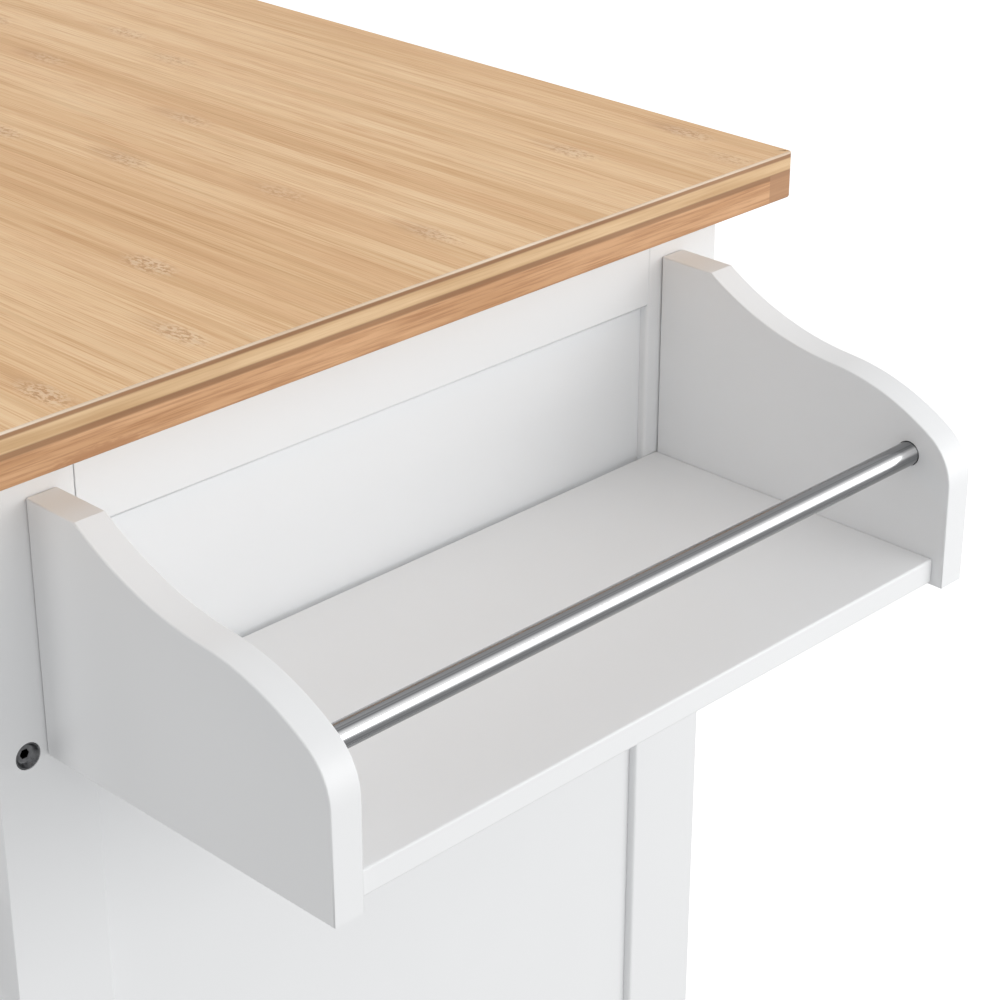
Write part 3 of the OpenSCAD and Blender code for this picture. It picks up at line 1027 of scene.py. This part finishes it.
@dataclass
class Boards:
    """Painted or plain boards with eased edges, made from the boxes of their nodes."""

    body: str = "cabinet"
    finish: Finish = PAINT
    slot: Slot = Slot.PAINT
    suffix: str = "painted"
    easing: float = 0.3 * MM
    segments: int = 3
    lower_easing: float = 0.0

    def make(
        self, node: str, boxes: Sequence[tuple[Vector, Vector]] | None = None
    ) -> bpy.types.Object:
        """Makes the boards of one node.

        Args:
            node: The node that they replace.
            boxes: The boards' corners, or nothing where the node is a single board.

        Returns:
            The piece.
        """
        blank = Blank()
        for low, high in boxes or [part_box(node)]:
            blank.add_board(low, high, self.easing, self.segments)
        if self.lower_easing:
            bottom = min(vert.co.z for vert in blank.mesh.verts)
            blank.round_edges(blank.edges_at(2, bottom), self.lower_easing, self.segments)
        piece = blank.show(f"{node}_{self.suffix}", [self.finish])
        return install(piece, self.body, self.slot, node)


# ---------------------------------------------------------------- sub-assemblies


@dataclass
class Worktop:
    """The bamboo worktop: one pressed board with a fine arris and layered edges.

    The knuckles listed have their X and Y in millimetres. The spare ones lie where X or Y
    is below the zone's, in metres.
    """

    node: str = "worktop"
    corner: float = 2.0 * MM
    arris: float = 0.8 * MM
    underside: float = 1.2 * MM
    margin: float = 2.0 * MM
    cells: tuple[int, int] = (200, 130)
    knuckle: tuple[float, float] = (19 * MM, 7.5 * MM)
    knuckle_gap: tuple[float, float] = (70 * MM, 25 * MM)
    crackled: tuple[float, float] = (0.45, 1.0)
    stained: tuple[float, float] = (0.1, 1.0)
    crackle_rise: float = 2.0
    stain_rise: float = 1.6
    stain_shift: float = 0.6
    stain_stretch: float = 1.25
    widest_mark: float = 1.6
    top_reach: float = 0.05 * MM
    spare_knuckles: int = 30
    spare_zone: tuple[float, float] = (-0.12, -0.14)
    seed: int = 7

    places: tuple[tuple[int, int], ...] = (
        (165, 10), (135, 70), (250, 30), (280, -70), (350, -110), (305, 165), (340, 40),
        (50, 130), (365, 210), (325, 225), (-10, 145), (-85, 110), (0, 85), (85, -5),
    )

    def knuckle_places(self, low: Vector, high: Vector) -> list[tuple[float, float]]:
        """Gives the knuckles' middles: those listed and the rest scattered.

        Args:
            low: The worktop's lowest corner.
            high: Its highest corner.

        Returns:
            Pairs of X and Y.
        """
        draw = random.Random(self.seed)
        spots = [(x * MM, y * MM) for x, y in self.places]
        gap_x, gap_y = self.knuckle_gap
        zone_x, zone_y = self.spare_zone
        while len(spots) < len(self.places) + self.spare_knuckles:
            x, y = draw.uniform(low.x, high.x), draw.uniform(low.y, high.y)
            clear = all(abs(x - a) > gap_x or abs(y - b) > gap_y for a, b in spots)
            if clear and (x < zone_x or y < zone_y):
                spots.append((x, y))
        return spots

    def mark_knuckles(self, blank: Blank, low: Vector, high: Vector) -> None:
        """Writes the knuckle and stain attributes on the points of the top.

        Args:
            blank: The worktop's workpiece.
            low: The worktop's lowest corner.
            high: Its highest corner.
        """
        knuckle = blank.mesh.verts.layers.float.new("knuckle")
        stain = blank.mesh.verts.layers.float.new("stain")
        spots = self.knuckle_places(low, high)
        draw = random.Random(self.seed + 1)
        marks = [(x, y, draw.uniform(*self.crackled), draw.uniform(*self.stained))
                 for x, y in spots]
        long, wide = self.knuckle
        for vert in blank.mesh.verts:
            if vert.co.z < high.z - self.top_reach:
                continue
            for x, y, crackled, stained in marks:
                across = abs(vert.co.y - y) / wide
                if across > self.widest_mark:
                    continue
                along = (vert.co.x - x) / long
                reach = math.hypot(along, across)
                beside = math.hypot((along + self.stain_shift) / self.stain_stretch, across)
                crackle = min(1.0, self.crackle_rise * (1.0 - reach)) * crackled
                blush = min(1.0, self.stain_rise * (1.0 - beside)) * stained
                vert[knuckle] = max(vert[knuckle], crackle)
                vert[stain] = max(vert[stain], blush)

    def build(self) -> None:
        """Makes the worktop and puts it on show."""
        low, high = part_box(self.node)
        blank = Blank().add_board(low, high)
        upright = [e for e in blank.mesh.edges if self.runs_along(e, 2)]
        blank.round_edges(upright, self.corner, 5)
        blank.round_edges(blank.edges_at(2, high.z), self.arris)
        blank.round_edges(blank.edges_at(2, low.z), self.underside)
        self.divide_top(blank, high.z)
        self.mark_knuckles(blank, low, high)
        edge_finish = BambooEdge(
            "bamboo_edge",
            bottom=low.z,
            thickness=high.z - low.z,
            half_length=(high.x - low.x) / 2,
            half_width=(high.y - low.y) / 2,
            middle_x=(high.x + low.x) / 2,
        )
        piece = blank.show(
            "worktop_bamboo", [BAMBOO, edge_finish], lambda f: 0 if abs(f.normal.z) > ALIGNED else 1
        )
        install(piece, "cabinet", Slot.BAMBOO, self.node)

    def divide_top(self, blank: Blank, level: float) -> None:
        """Divides the top face into small cells, which carry the knuckles.

        Args:
            blank: The worktop's workpiece.
            level: The height of the top.
        """
        top = next(f for f in blank.mesh.faces
                   if f.normal.z > ALIGNED and abs(f.calc_center_median().z - level) < SAME)
        bmesh.ops.inset_region(blank.mesh, faces=[top], thickness=self.margin,
                               use_boundary=True, use_even_offset=True)
        bmesh.ops.dissolve_limit(
            blank.mesh, angle_limit=math.radians(40), verts=top.verts[:], edges=[]
        )
        for direction, cuts in zip((0, 1), self.cells):
            rims = [e for f in blank.mesh.faces if f.normal.z > ALIGNED for e in f.edges
                    if self.runs_along(e, direction)
                    and abs(e.verts[0].co.z - level) < SAME
                    and all(self.inside(v.co) for v in e.verts)]
            bmesh.ops.subdivide_edges(blank.mesh, edges=list(set(rims)), cuts=cuts,
                                      use_grid_fill=True)

    def inside(self, point: Vector) -> bool:
        """Returns whether a point of the top lies within the margin.

        Args:
            point: The point.

        Returns:
            True within the margin.
        """
        low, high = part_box(self.node)
        rim = self.margin * 0.9
        return low.x + rim < point.x < high.x - rim and low.y + rim < point.y < high.y - rim

    @staticmethod
    def runs_along(edge: bmesh.types.BMEdge, axis: int) -> bool:
        """Returns whether an edge runs along X (0), Y (1) or Z (2)."""
        span = edge.verts[1].co - edge.verts[0].co
        return abs(span[axis]) > ALIGNED * span.length


@dataclass(frozen=True)
class Bolt:
    """A cross-frame bolt in its counterbore: a cupped head with a hexagon socket, and a shank.

    The head's profile is in millimetres.
    """

    counterbore: float = 6.0 * MM
    counterbore_depth: float = 3.6 * MM
    cup_floor: float = 1.0 * MM
    socket_width: float = 4.6 * MM
    socket_depth: float = 2.0 * MM
    shank_radius: float = 3.0 * MM
    shank_length: float = 50 * MM
    # The head's cup rises round the counterbore's wall to just under the face, so the wall shows
    # dark metal: the bolt's own colour, and also standing in for the shade on that wall.
    head: Profile = (
        (0, 0), (5.6, 0), (5.8, 0.3), (5.8, 3.15), (5.65, 3.4), (5.35, 3.4), (5.1, 3.1),
        (4.3, 1.25), (3.9, 1.0), (0, 1.0),
    )

    def add(self, blank: Blank, mouth: Vector, outward: Vector) -> None:
        """Adds the bolt.

        Args:
            blank: The workpiece to add it to.
            mouth: The counterbore's middle on the frame's outer face.
            outward: The way out of that face.
        """
        seat = mouth - outward * self.counterbore_depth
        head = Blank().add_turned(in_metres(self.head), seat, outward, 64)
        place = Matrix.Translation(seat + outward * self.cup_floor)
        key = Blank()
        bmesh.ops.create_cone(
            key.mesh, cap_ends=True, segments=6, radius1=self.socket_width / 2,
            radius2=self.socket_width / 2, depth=2 * self.socket_depth,
            matrix=place @ Matrix.Rotation(math.radians(90), 4, "Y"),
        )
        blank.join(head.cut(key))
        blank.add_rod(seat - outward * self.shank_length, seat, self.shank_radius, 24)


@dataclass
class EndFrame:
    """One end of the cabinet: two posts, two rails and a panel, with counterbored bolts."""

    end: End
    bolt: Bolt = Bolt()
    easing: float = 0.3 * MM
    rail_easing: float = 1.5 * MM
    panel_arris: float = 1.5 * MM

    @property
    def outward(self) -> Vector:
        """Returns the way out of the frame's outer face."""
        return X_AXIS * self.end.value

    def face(self) -> float:
        """Returns the X of the frame's outer face."""
        low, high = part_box(f"post_{self.end.word}_front")
        return high.x if self.end is End.RACK else low.x

    def bolt_mouths(self) -> list[Vector]:
        """Gives the middles of the bolts' counterbores, level with the rails they hold.

        Returns:
            A point of the outer face for each bolt.
        """
        rails = ("front_middle_rail", "front_foot_rail", "back_foot_rail")
        middles = [sum(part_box(rail), Vector()) / 2 for rail in rails]
        return [Vector((self.face(), middle.y, middle.z)) for middle in middles]

    def post(self, row: Row) -> None:
        """Makes a post, drills the bolts' counterbores and puts it on show.

        Args:
            row: The front or the back post.
        """
        node = f"post_{self.end.word}_{row.word}"
        low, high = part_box(node)
        blank = Blank().add_board(low, high)
        beside_panel = blank.edges_at(1, low.y if row is Row.BACK else high.y)
        arris = [edge for edge in blank.edges_at(0, self.face()) if edge in beside_panel]
        rest = [edge for edge in blank.mesh.edges if edge not in arris]
        blank.round_edges(arris, self.panel_arris, 4)
        blank.round_edges([edge for edge in rest if edge.is_valid], self.easing)
        drill = Blank()
        for mouth in self.bolt_mouths():
            if low.y < mouth.y < high.y:
                drill.add_drill(mouth, self.outward, self.bolt.counterbore_depth,
                                self.bolt.counterbore)
        blank.cut(drill).crease()
        install(blank.show(f"{node}_painted", [PAINT]), "cabinet", Slot.PAINT, node)

    def build(self) -> None:
        """Makes the posts, the rails and the panel."""
        for row in Row:
            self.post(row)
        boards = Boards(easing=self.easing)
        for part in ("end_foot_rail", "end_panel"):
            boards.make(f"{part}_{self.end.word}")
        Boards(easing=0.0, lower_easing=self.rail_easing).make(f"end_top_rail_{self.end.word}")

    def add_bolts(self, blank: Blank) -> None:
        """Adds this end's bolts.

        Args:
            blank: The workpiece to add them to.
        """
        for mouth in self.bolt_mouths():
            self.bolt.add(blank, mouth, self.outward)


@dataclass
class Cabinet:
    """The boards between the two end frames, and the bolts and hardware that join them."""

    boards: Boards

    def build(self) -> None:
        """Makes the rails, the back, the floor and the shelf, and dresses the hardware."""
        for node in ("front_top_rail", "front_middle_rail", "front_foot_rail",
                     "back_top_rail", "back_foot_rail", "back_mullion", "floor_board", "shelf"):
            self.boards.make(node)
        low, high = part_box("back_panels")
        inner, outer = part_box("back_mullion")
        left = (low, Vector((inner.x, high.y, high.z)))
        right = (Vector((outer.x, low.y, low.z)), high)
        self.boards.make("back_panels", [left, right])
        for node, finish in (("shelf_pins", ZINC), ("worktop_brackets", ZINC),
                             ("rack_screws", DARK), ("drawer_runners", ZINC),
                             ("hinge_posts", NICKEL), ("door_catch", PLASTIC),
                             ("caster_plates", ZINC)):
            keep(node, finish)

    @staticmethod
    def build_bolts(frames: Sequence[EndFrame]) -> None:
        """Makes the bolts of both end frames as one piece.

        Args:
            frames: The two end frames.
        """
        blank = Blank()
        for end_frame in frames:
            end_frame.add_bolts(blank)
        install(blank.show("frame_bolts_turned", [DARK]), "cabinet", Slot.DARK, "frame_bolts")


@dataclass
class Rack:
    """The rack on the end: two swept sides, a shelf between them and a steel bar.

    A side's outline runs from a flat top down a hollow curve, over a full one and round the
    nose. The angles are those of the outline below the level, in degrees, and a facet of an arc
    turns by about the one given.
    """

    flat: float = 30.5 * MM
    knee: float = 103 * MM
    nose_radius: float = 27 * MM
    hollow_angle: float = 33.0
    knee_angle: float = 3.5
    nose_angle: float = 33.5
    rounding: float = 0.6 * MM
    back_gap: float = 0.6 * MM
    shelf_rounding: float = 1.1 * MM
    socket_gap: float = 0.3 * MM
    socket_depth: float = 8 * MM
    bar_wall: float = 1.2 * MM
    bar_lip: float = 0.3 * MM
    facet: float = 1.5
    fewest_facets: int = 6

    def bar_line(self) -> tuple[Vector, float, float]:
        """Returns the bar's middle, its radius and half its length, from its node."""
        low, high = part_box("rack_bar")
        return (low + high) / 2, (high.z - low.z) / 2, (high.y - low.y) / 2

    def sweep(self, mesh: bmesh.types.BMesh, tip: bmesh.types.BMVert, radius: float,
              start: float, end: float, hollow: bool) -> bmesh.types.BMVert:
        """Draws an arc of the outline on from its last point.

        Args:
            mesh: The mesh that holds the outline.
            tip: The last point so far.
            radius: The arc's radius.
            start: The outline's angle below the level where the arc starts, in degrees.
            end: The same where it ends.
            hollow: Whether the arc's middle lies above the outline.

        Returns:
            The arc's last point.
        """
        lean = math.radians(start)
        side = 1.0 if hollow else -1.0
        middle = tip.co + Vector((math.sin(lean), 0.0, math.cos(lean))) * radius * side
        steps = max(self.fewest_facets, round(abs(end - start) / self.facet))
        made = bmesh.ops.spin(mesh, geom=[tip], cent=middle, axis=Y_AXIS, dvec=(0, 0, 0),
                              angle=math.radians(end - start), steps=steps,
                              use_merge=False, use_duplicate=False)
        return next(v for v in made["geom_last"] if isinstance(v, bmesh.types.BMVert))

    def outline(self, mesh: bmesh.types.BMesh, low: Vector, high: Vector) -> None:
        """Draws a side's outline at its front face and fills it.

        Args:
            mesh: The empty mesh to draw in.
            low: The side's lowest corner.
            high: Its highest corner.
        """
        steep, shallow, blunt = (
            math.sin(math.radians(angle))
            for angle in (self.hollow_angle, self.knee_angle, self.nose_angle)
        )
        hollow = (self.knee - self.flat) / (steep - shallow)
        depth = high.x - low.x + self.back_gap
        nose_x = depth - self.nose_radius * (1 - blunt)
        full = (nose_x - self.knee) / (blunt - shallow)
        corner = mesh.verts.new((low.x, low.y, high.z))
        tip = mesh.verts.new((low.x + self.flat - self.back_gap, low.y, high.z))
        mesh.edges.new((corner, tip))
        tip = self.sweep(mesh, tip, hollow, self.hollow_angle, self.knee_angle, True)
        tip = self.sweep(mesh, tip, full, self.knee_angle, self.nose_angle, False)
        tip = self.sweep(mesh, tip, self.nose_radius, self.nose_angle, 90.0, False)
        toe = mesh.verts.new((high.x, low.y, low.z))
        heel = mesh.verts.new((low.x, low.y, low.z))
        for pair in ((tip, toe), (toe, heel), (heel, corner)):
            mesh.edges.new(pair)
        bmesh.ops.contextual_create(mesh, geom=mesh.edges[:])

    def side(self, row: Row) -> None:
        """Makes a side of the rack, with the bar's socket in its inner face.

        Args:
            row: The front or the back side.
        """
        node = f"rack_side_{row.word}"
        low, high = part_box(node)
        blank = Blank()
        self.outline(blank.mesh, low + X_AXIS * self.back_gap, high)
        grown = bmesh.ops.extrude_face_region(blank.mesh, geom=blank.mesh.faces[:],
                                              use_keep_orig=True)
        moved = [v for v in grown["geom"] if isinstance(v, bmesh.types.BMVert)]
        bmesh.ops.translate(blank.mesh, verts=moved, vec=Y_AXIS * (high.y - low.y))
        bmesh.ops.recalc_face_normals(blank.mesh, faces=blank.mesh.faces)
        for face in blank.mesh.faces:
            face.smooth = abs(face.normal.y) < 0.5
        blank.crease(20.0)
        rim = [e for e in blank.mesh.edges
               if abs(e.verts[0].co.y - e.verts[1].co.y) < SAME]
        blank.round_edges(rim, self.rounding, 4)
        middle, radius, _ = self.bar_line()
        inner = high.y if row is Row.FRONT else low.y
        mouth = Vector((middle.x, inner, middle.z))
        blank.cut(Blank().add_drill(mouth, Y_AXIS * -row.value, self.socket_depth,
                                    radius + self.socket_gap))
        install(blank.show(f"{node}_painted", [PAINT]), "cabinet", Slot.PAINT, node)

    def bar(self) -> None:
        """Makes the steel tube of the bar."""
        middle, radius, half = self.bar_line()
        inner, lip = radius - self.bar_wall, self.bar_lip
        profile = [(inner, -half), (radius - lip, -half), (radius, lip - half),
                   (radius, half - lip), (radius - lip, half), (inner, half)]
        blank = Blank().add_turned(profile, middle, Y_AXIS, 72, ring=True)
        # The bar's material paints its reflection on: a painted highlight and painted dark
        # reflections.
        steel = DrawnTube("drawn_steel_bar", middle_x=middle.x, middle_z=middle.z)
        install(blank.show("rack_bar_drawn", [steel]), "cabinet", Slot.BRUSHED, "rack_bar")

    def build(self) -> None:
        """Makes the sides, the shelf and the bar."""
        for row in Row:
            self.side(row)
        Boards(easing=self.shelf_rounding, segments=4).make("rack_shelf")
        self.bar()


@dataclass(frozen=True)
class Knob:
    """A turned metal knob on a stem, with a small foot against the front.

    Its profile is in millimetres.
    """

    profile: Profile = (
        (0, 22), (4.5, 21.8), (8.4, 20.6), (10.9, 18.6), (12, 16), (11.5, 13.8), (9.8, 11.6),
        (7.2, 10.0), (5.4, 8.6), (4.9, 7.0), (4.9, 4.0), (5.6, 2.6), (7.2, 1.6), (7.4, 1.0),
        (7.4, 0), (0, 0),
    )

    def add(self, blank: Blank, low: Vector, high: Vector) -> None:
        """Turns a knob that fills the given box and points along -Y.

        Args:
            blank: The workpiece to add it to.
            low: The lowest corner of the knob's box.
            high: Its highest corner.
        """
        foot = Vector(((low.x + high.x) / 2, high.y, (low.z + high.z) / 2))
        blank.add_turned(in_metres(self.profile), foot, -Y_AXIS)


@dataclass
class Drawer:
    """The drawer: a painted front with two knobs on a plywood box between steel slides."""

    body: str = "drawer"
    knob: Knob = Knob()
    easing: float = 0.4 * MM
    front_easing: float = 1.0 * MM

    def build(self) -> None:
        """Makes the front, the box and the knobs, and dresses the slides."""
        Boards(body=self.body, easing=self.front_easing).make("drawer_front")
        plain = Boards(self.body, PLYWOOD, Slot.PLYWOOD, "plywood", self.easing, 2)
        crosswise = Boards(self.body, PLYWOOD_ACROSS, Slot.PLYWOOD, "plywood", self.easing, 2)
        for node in ("drawer_side_left", "drawer_side_right", "drawer_bottom"):
            plain.make(node)
        crosswise.make("drawer_back")
        low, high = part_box("drawer_knobs")
        width = Vector((high.z - low.z, 0.0, 0.0))
        blank = Blank()
        self.knob.add(blank, low, Vector((low.x, high.y, high.z)) + width)
        self.knob.add(blank, Vector((high.x, low.y, low.z)) - width, high)
        install(blank.show("drawer_knobs_turned", [NICKEL]), self.body, Slot.NICKEL,
                "drawer_knobs")
        keep("drawer_slides", ZINC)


@dataclass
class Door:
    """A door: two stiles, two rails and a set-back panel, with a knob and two hinges."""

    hand: Hand
    knob: Knob = Knob()
    easing: float = 0.5 * MM

    def build(self) -> None:
        """Makes the door's boards and knob, and dresses its hinges."""
        body = f"door_{self.hand.word}"
        boards = Boards(body=body, easing=self.easing)
        low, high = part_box(f"{body}_stiles")
        inner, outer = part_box(f"{body}_rails")
        panel_low, panel_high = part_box(f"{body}_panel")
        boards.make(f"{body}_stiles", [(low, Vector((inner.x, high.y, high.z))),
                                       (Vector((outer.x, low.y, low.z)), high)])
        boards.make(f"{body}_rails", [(inner, Vector((outer.x, outer.y, panel_low.z))),
                                      (Vector((inner.x, inner.y, panel_high.z)), outer)])
        boards.make(f"{body}_panel")
        blank = Blank()
        self.knob.add(blank, *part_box(f"{body}_knob"))
        install(blank.show(f"{body}_knob_turned", [NICKEL]), body, Slot.NICKEL, f"{body}_knob")
        keep(f"{body}_hinges", NICKEL)


@dataclass
class Caster:
    """A swivelling caster: a steel fork, a wheel with a rubber tyre, and maybe a brake."""

    end: End
    row: Row
    bore: float = 3.05 * MM
    hub_radius: float = 8.5 * MM
    hub_slope: float = 1.0 * MM
    dish: float = 2.2 * MM
    bead_slope: float = 1.2 * MM
    bead_drop: float = 0.8 * MM
    cheek_drop: float = 0.5 * MM
    tyre_depth: float = 0.28
    shoulder: float = 2.6 * MM
    shoulder_turns: tuple[float, ...] = (22.5, 45.0, 67.5, 90.0)

    def wheel(self, place: str) -> None:
        """Makes the wheel, with its hub, dished web and rounded tyre.

        Args:
            place: The caster's end and row, as in the names of the nodes.
        """
        node = f"wheel_{place}"
        low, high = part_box(node)
        middle, radius, half = (low + high) / 2, (high.z - low.z) / 2, (high.y - low.y) / 2
        rim = radius * (1 - self.tyre_depth)
        cheek = half - self.cheek_drop
        web = [(self.bore, half), (self.hub_radius, half),
               (self.hub_radius + self.hub_slope, half - self.dish),
               (rim - self.bead_slope, half - self.dish), (rim, half - self.bead_drop),
               (radius - self.shoulder, cheek)]
        tread = [(radius - self.shoulder * (1 - math.sin(turn)),
                  cheek - self.shoulder * (1 - math.cos(turn)))
                 for turn in map(math.radians, self.shoulder_turns)]
        upper = web + tread
        profile = upper + [(r, -d) for r, d in reversed(upper)]
        blank = Blank().add_turned(profile, middle, Y_AXIS, 64, ring=True)
        axis = Vector((middle.x, 0.0, middle.z))

        def finish_of(face: bmesh.types.BMFace) -> int:
            """Returns the slot of the tyre's finish, 0, or of the hub's, 1."""
            centre = face.calc_center_median()
            return 0 if (Vector((centre.x, 0.0, centre.z)) - axis).length > rim else 1

        piece = blank.show(f"{node}_tyred", [RUBBER, HUB], finish_of)
        install(piece, f"roller_{place}", Slot.RUBBER, node)

    def build(self) -> None:
        """Makes the wheel and dresses the fork and the brake."""
        place = f"{self.end.word}_{self.row.word}"
        self.wheel(place)
        keep(f"fork_{place}", ZINC)
        if self.row is Row.FRONT:
            keep(f"brake_{place}", PLASTIC)


# ---------------------------------------------------------------- studio


@dataclass(frozen=True)
class FloorFinish(Finish):
    """A plain pale floor that gives off a little of its own light."""

    shade: Colour = tone(247, 247, 247)
    drift: Colour = tone(244, 244, 244)
    cloud_rate: float = 0.7
    glow: float = 0.5

    def dress(self, graph: Graph) -> None:
        """Builds the floor's nodes.

        Args:
            graph: The empty graph to build in.
        """
        cloud = graph.noise(graph.place((self.cloud_rate,) * 3))
        graph.set(
            base_color=graph.ramp(cloud, [(0.3, self.drift), (0.7, self.shade)]),
            roughness=0.8,
            emission_color=self.shade,
            emission_strength=self.glow,
        )


def set_up(name: str, data: bpy.types.ID, place: Triple, ahead: Vector) -> bpy.types.Object:
    """Puts a light or a camera in the scene.

    Args:
        name: Its name.
        data: The light or camera itself.
        place: Where it stands.
        ahead: The way it faces.

    Returns:
        The object.
    """
    piece = bpy.data.objects.new(name, data)
    turn = ahead.to_track_quat("-Z", "Y").to_matrix().to_4x4()
    piece.matrix_world = Matrix.Translation(place) @ turn
    bpy.context.scene.collection.objects.link(piece)
    return piece


@dataclass(frozen=True)
class Lamp:
    """A square soft light that hangs at one point and faces another."""

    name: str
    place: Triple
    target: Triple
    size: float
    power: float

    def hang(self) -> None:
        """Adds the light to the scene."""
        light = bpy.data.lights.new(self.name, "AREA")
        light.shape = "SQUARE"
        light.size = self.size
        light.energy = self.power
        set_up(self.name, light, self.place, Vector(self.target) - Vector(self.place))
        LOG.info("%s hangs at %s", self.name, self.place)


@dataclass
class Studio:
    """The floor, the lights, the pale surroundings and the camera."""

    floor_half: float = 30.0
    wall_radius: float = 29.0
    wall_height: float = 16.0
    sky: float = 0.66
    sky_swing: float = 0.26
    below: float = 0.75
    horizon: tuple[float, float] = (-0.4, 0.1)
    bright_side: Triple = (0.8, 0.5, 0.1)
    camera_place: Triple = (1.1079, -0.7002, 1.2887)
    azimuth: float = 134.56
    pitch: float = 25.84
    lens: float = 93.65
    clip: tuple[float, float] = (0.02, 100.0)
    lamps: tuple[Lamp, ...] = (
        Lamp("key_light", (1.55, 1.0, 1.05), (0.4, 0.1, 0.8), 0.9, 5.4),
        Lamp("front_light", (2.1, 0.5, 1.3), (0.4, 0.1, 0.8), 1.0, 5.0),
        Lamp("side_light", (-0.9, -2.4, 1.1), (0.3, -0.2, 0.8), 1.2, 11.0),
        Lamp("top_light", (-0.4, 0.4, 2.6), (0.1, 0.1, 0.8), 1.6, 2.0),
        Lamp("far_light", (-2.4, -0.9, 2.0), (0.0, 0.0, 0.9), 1.0, 16.0),
    )

    def lay_floor(self) -> None:
        """Lays the floor."""
        blank = Blank()
        bmesh.ops.create_grid(blank.mesh, x_segments=8, y_segments=8, size=self.floor_half)
        floor = blank.show("studio_floor", [FloorFinish("pale_studio_floor")])
        floor.visible_diffuse = floor.visible_glossy = False

    def raise_wall(self) -> None:
        """Raises a round white wall far behind the object, which only the eye sees."""
        profile = [(self.wall_radius, 0.0), (self.wall_radius, self.wall_height)]
        blank = Blank().add_turned(profile, -Z_AXIS, Z_AXIS, 96)
        bmesh.ops.reverse_faces(blank.mesh, faces=blank.mesh.faces)
        wall = blank.show("studio_wall", [FloorFinish("pale_studio_wall", glow=1.0)])
        wall.visible_diffuse = wall.visible_glossy = wall.visible_shadow = False

    def surround(self) -> None:
        """Fills the surroundings with soft light that grows towards the bright side."""
        world = bpy.data.worlds.new("studio")
        graph = Graph(world, "Background")
        ray = graph.put("TexCoord").outputs["Generated"]
        facing = graph.put("VectorMath", operation="DOT_PRODUCT")
        graph.feed(facing.inputs[0], ray)
        graph.feed(facing.inputs[1], Vector(self.bright_side).normalized())
        level = graph.reckon("MULTIPLY_ADD", facing.outputs["Value"], self.sky_swing, self.sky)
        low, high = self.horizon
        fall = graph.span(graph.axis(ray, "Z"), low, high, self.below, 1.0, "LINEAR")
        graph.set(color=WHITE, strength=graph.product(level, fall))
        bpy.context.scene.world = world

    def set_camera(self) -> None:
        """Sets the camera that looks down on the rack end."""
        turn, fall = math.radians(self.azimuth), math.radians(self.pitch)
        ahead = Vector((math.cos(turn) * math.cos(fall), math.sin(turn) * math.cos(fall),
                        -math.sin(fall)))
        data = bpy.data.cameras.new("camera")
        data.lens = self.lens
        data.clip_start, data.clip_end = self.clip
        bpy.context.scene.camera = set_up("camera", data, self.camera_place, ahead)

    def build(self) -> None:
        """Sets up the whole studio."""
        self.lay_floor()
        self.raise_wall()
        self.surround()
        for lamp in self.lamps:
            lamp.hang()
        self.set_camera()
        bpy.context.scene.view_settings.view_transform = "Standard"


def main() -> None:
    """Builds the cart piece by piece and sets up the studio."""
    logging.basicConfig(level=logging.INFO, format="%(name)s: %(message)s")
    Worktop().build()
    frames = [EndFrame(end) for end in End]
    for end_frame in frames:
        end_frame.build()
    Cabinet(Boards()).build()
    Cabinet.build_bolts(frames)
    Rack().build()
    Drawer().build()
    for hand in Hand:
        Door(hand).build()
    for end in End:
        for row in Row:
            Caster(end, row).build()
    Studio().build()


if __name__ == "__main__":
    main()
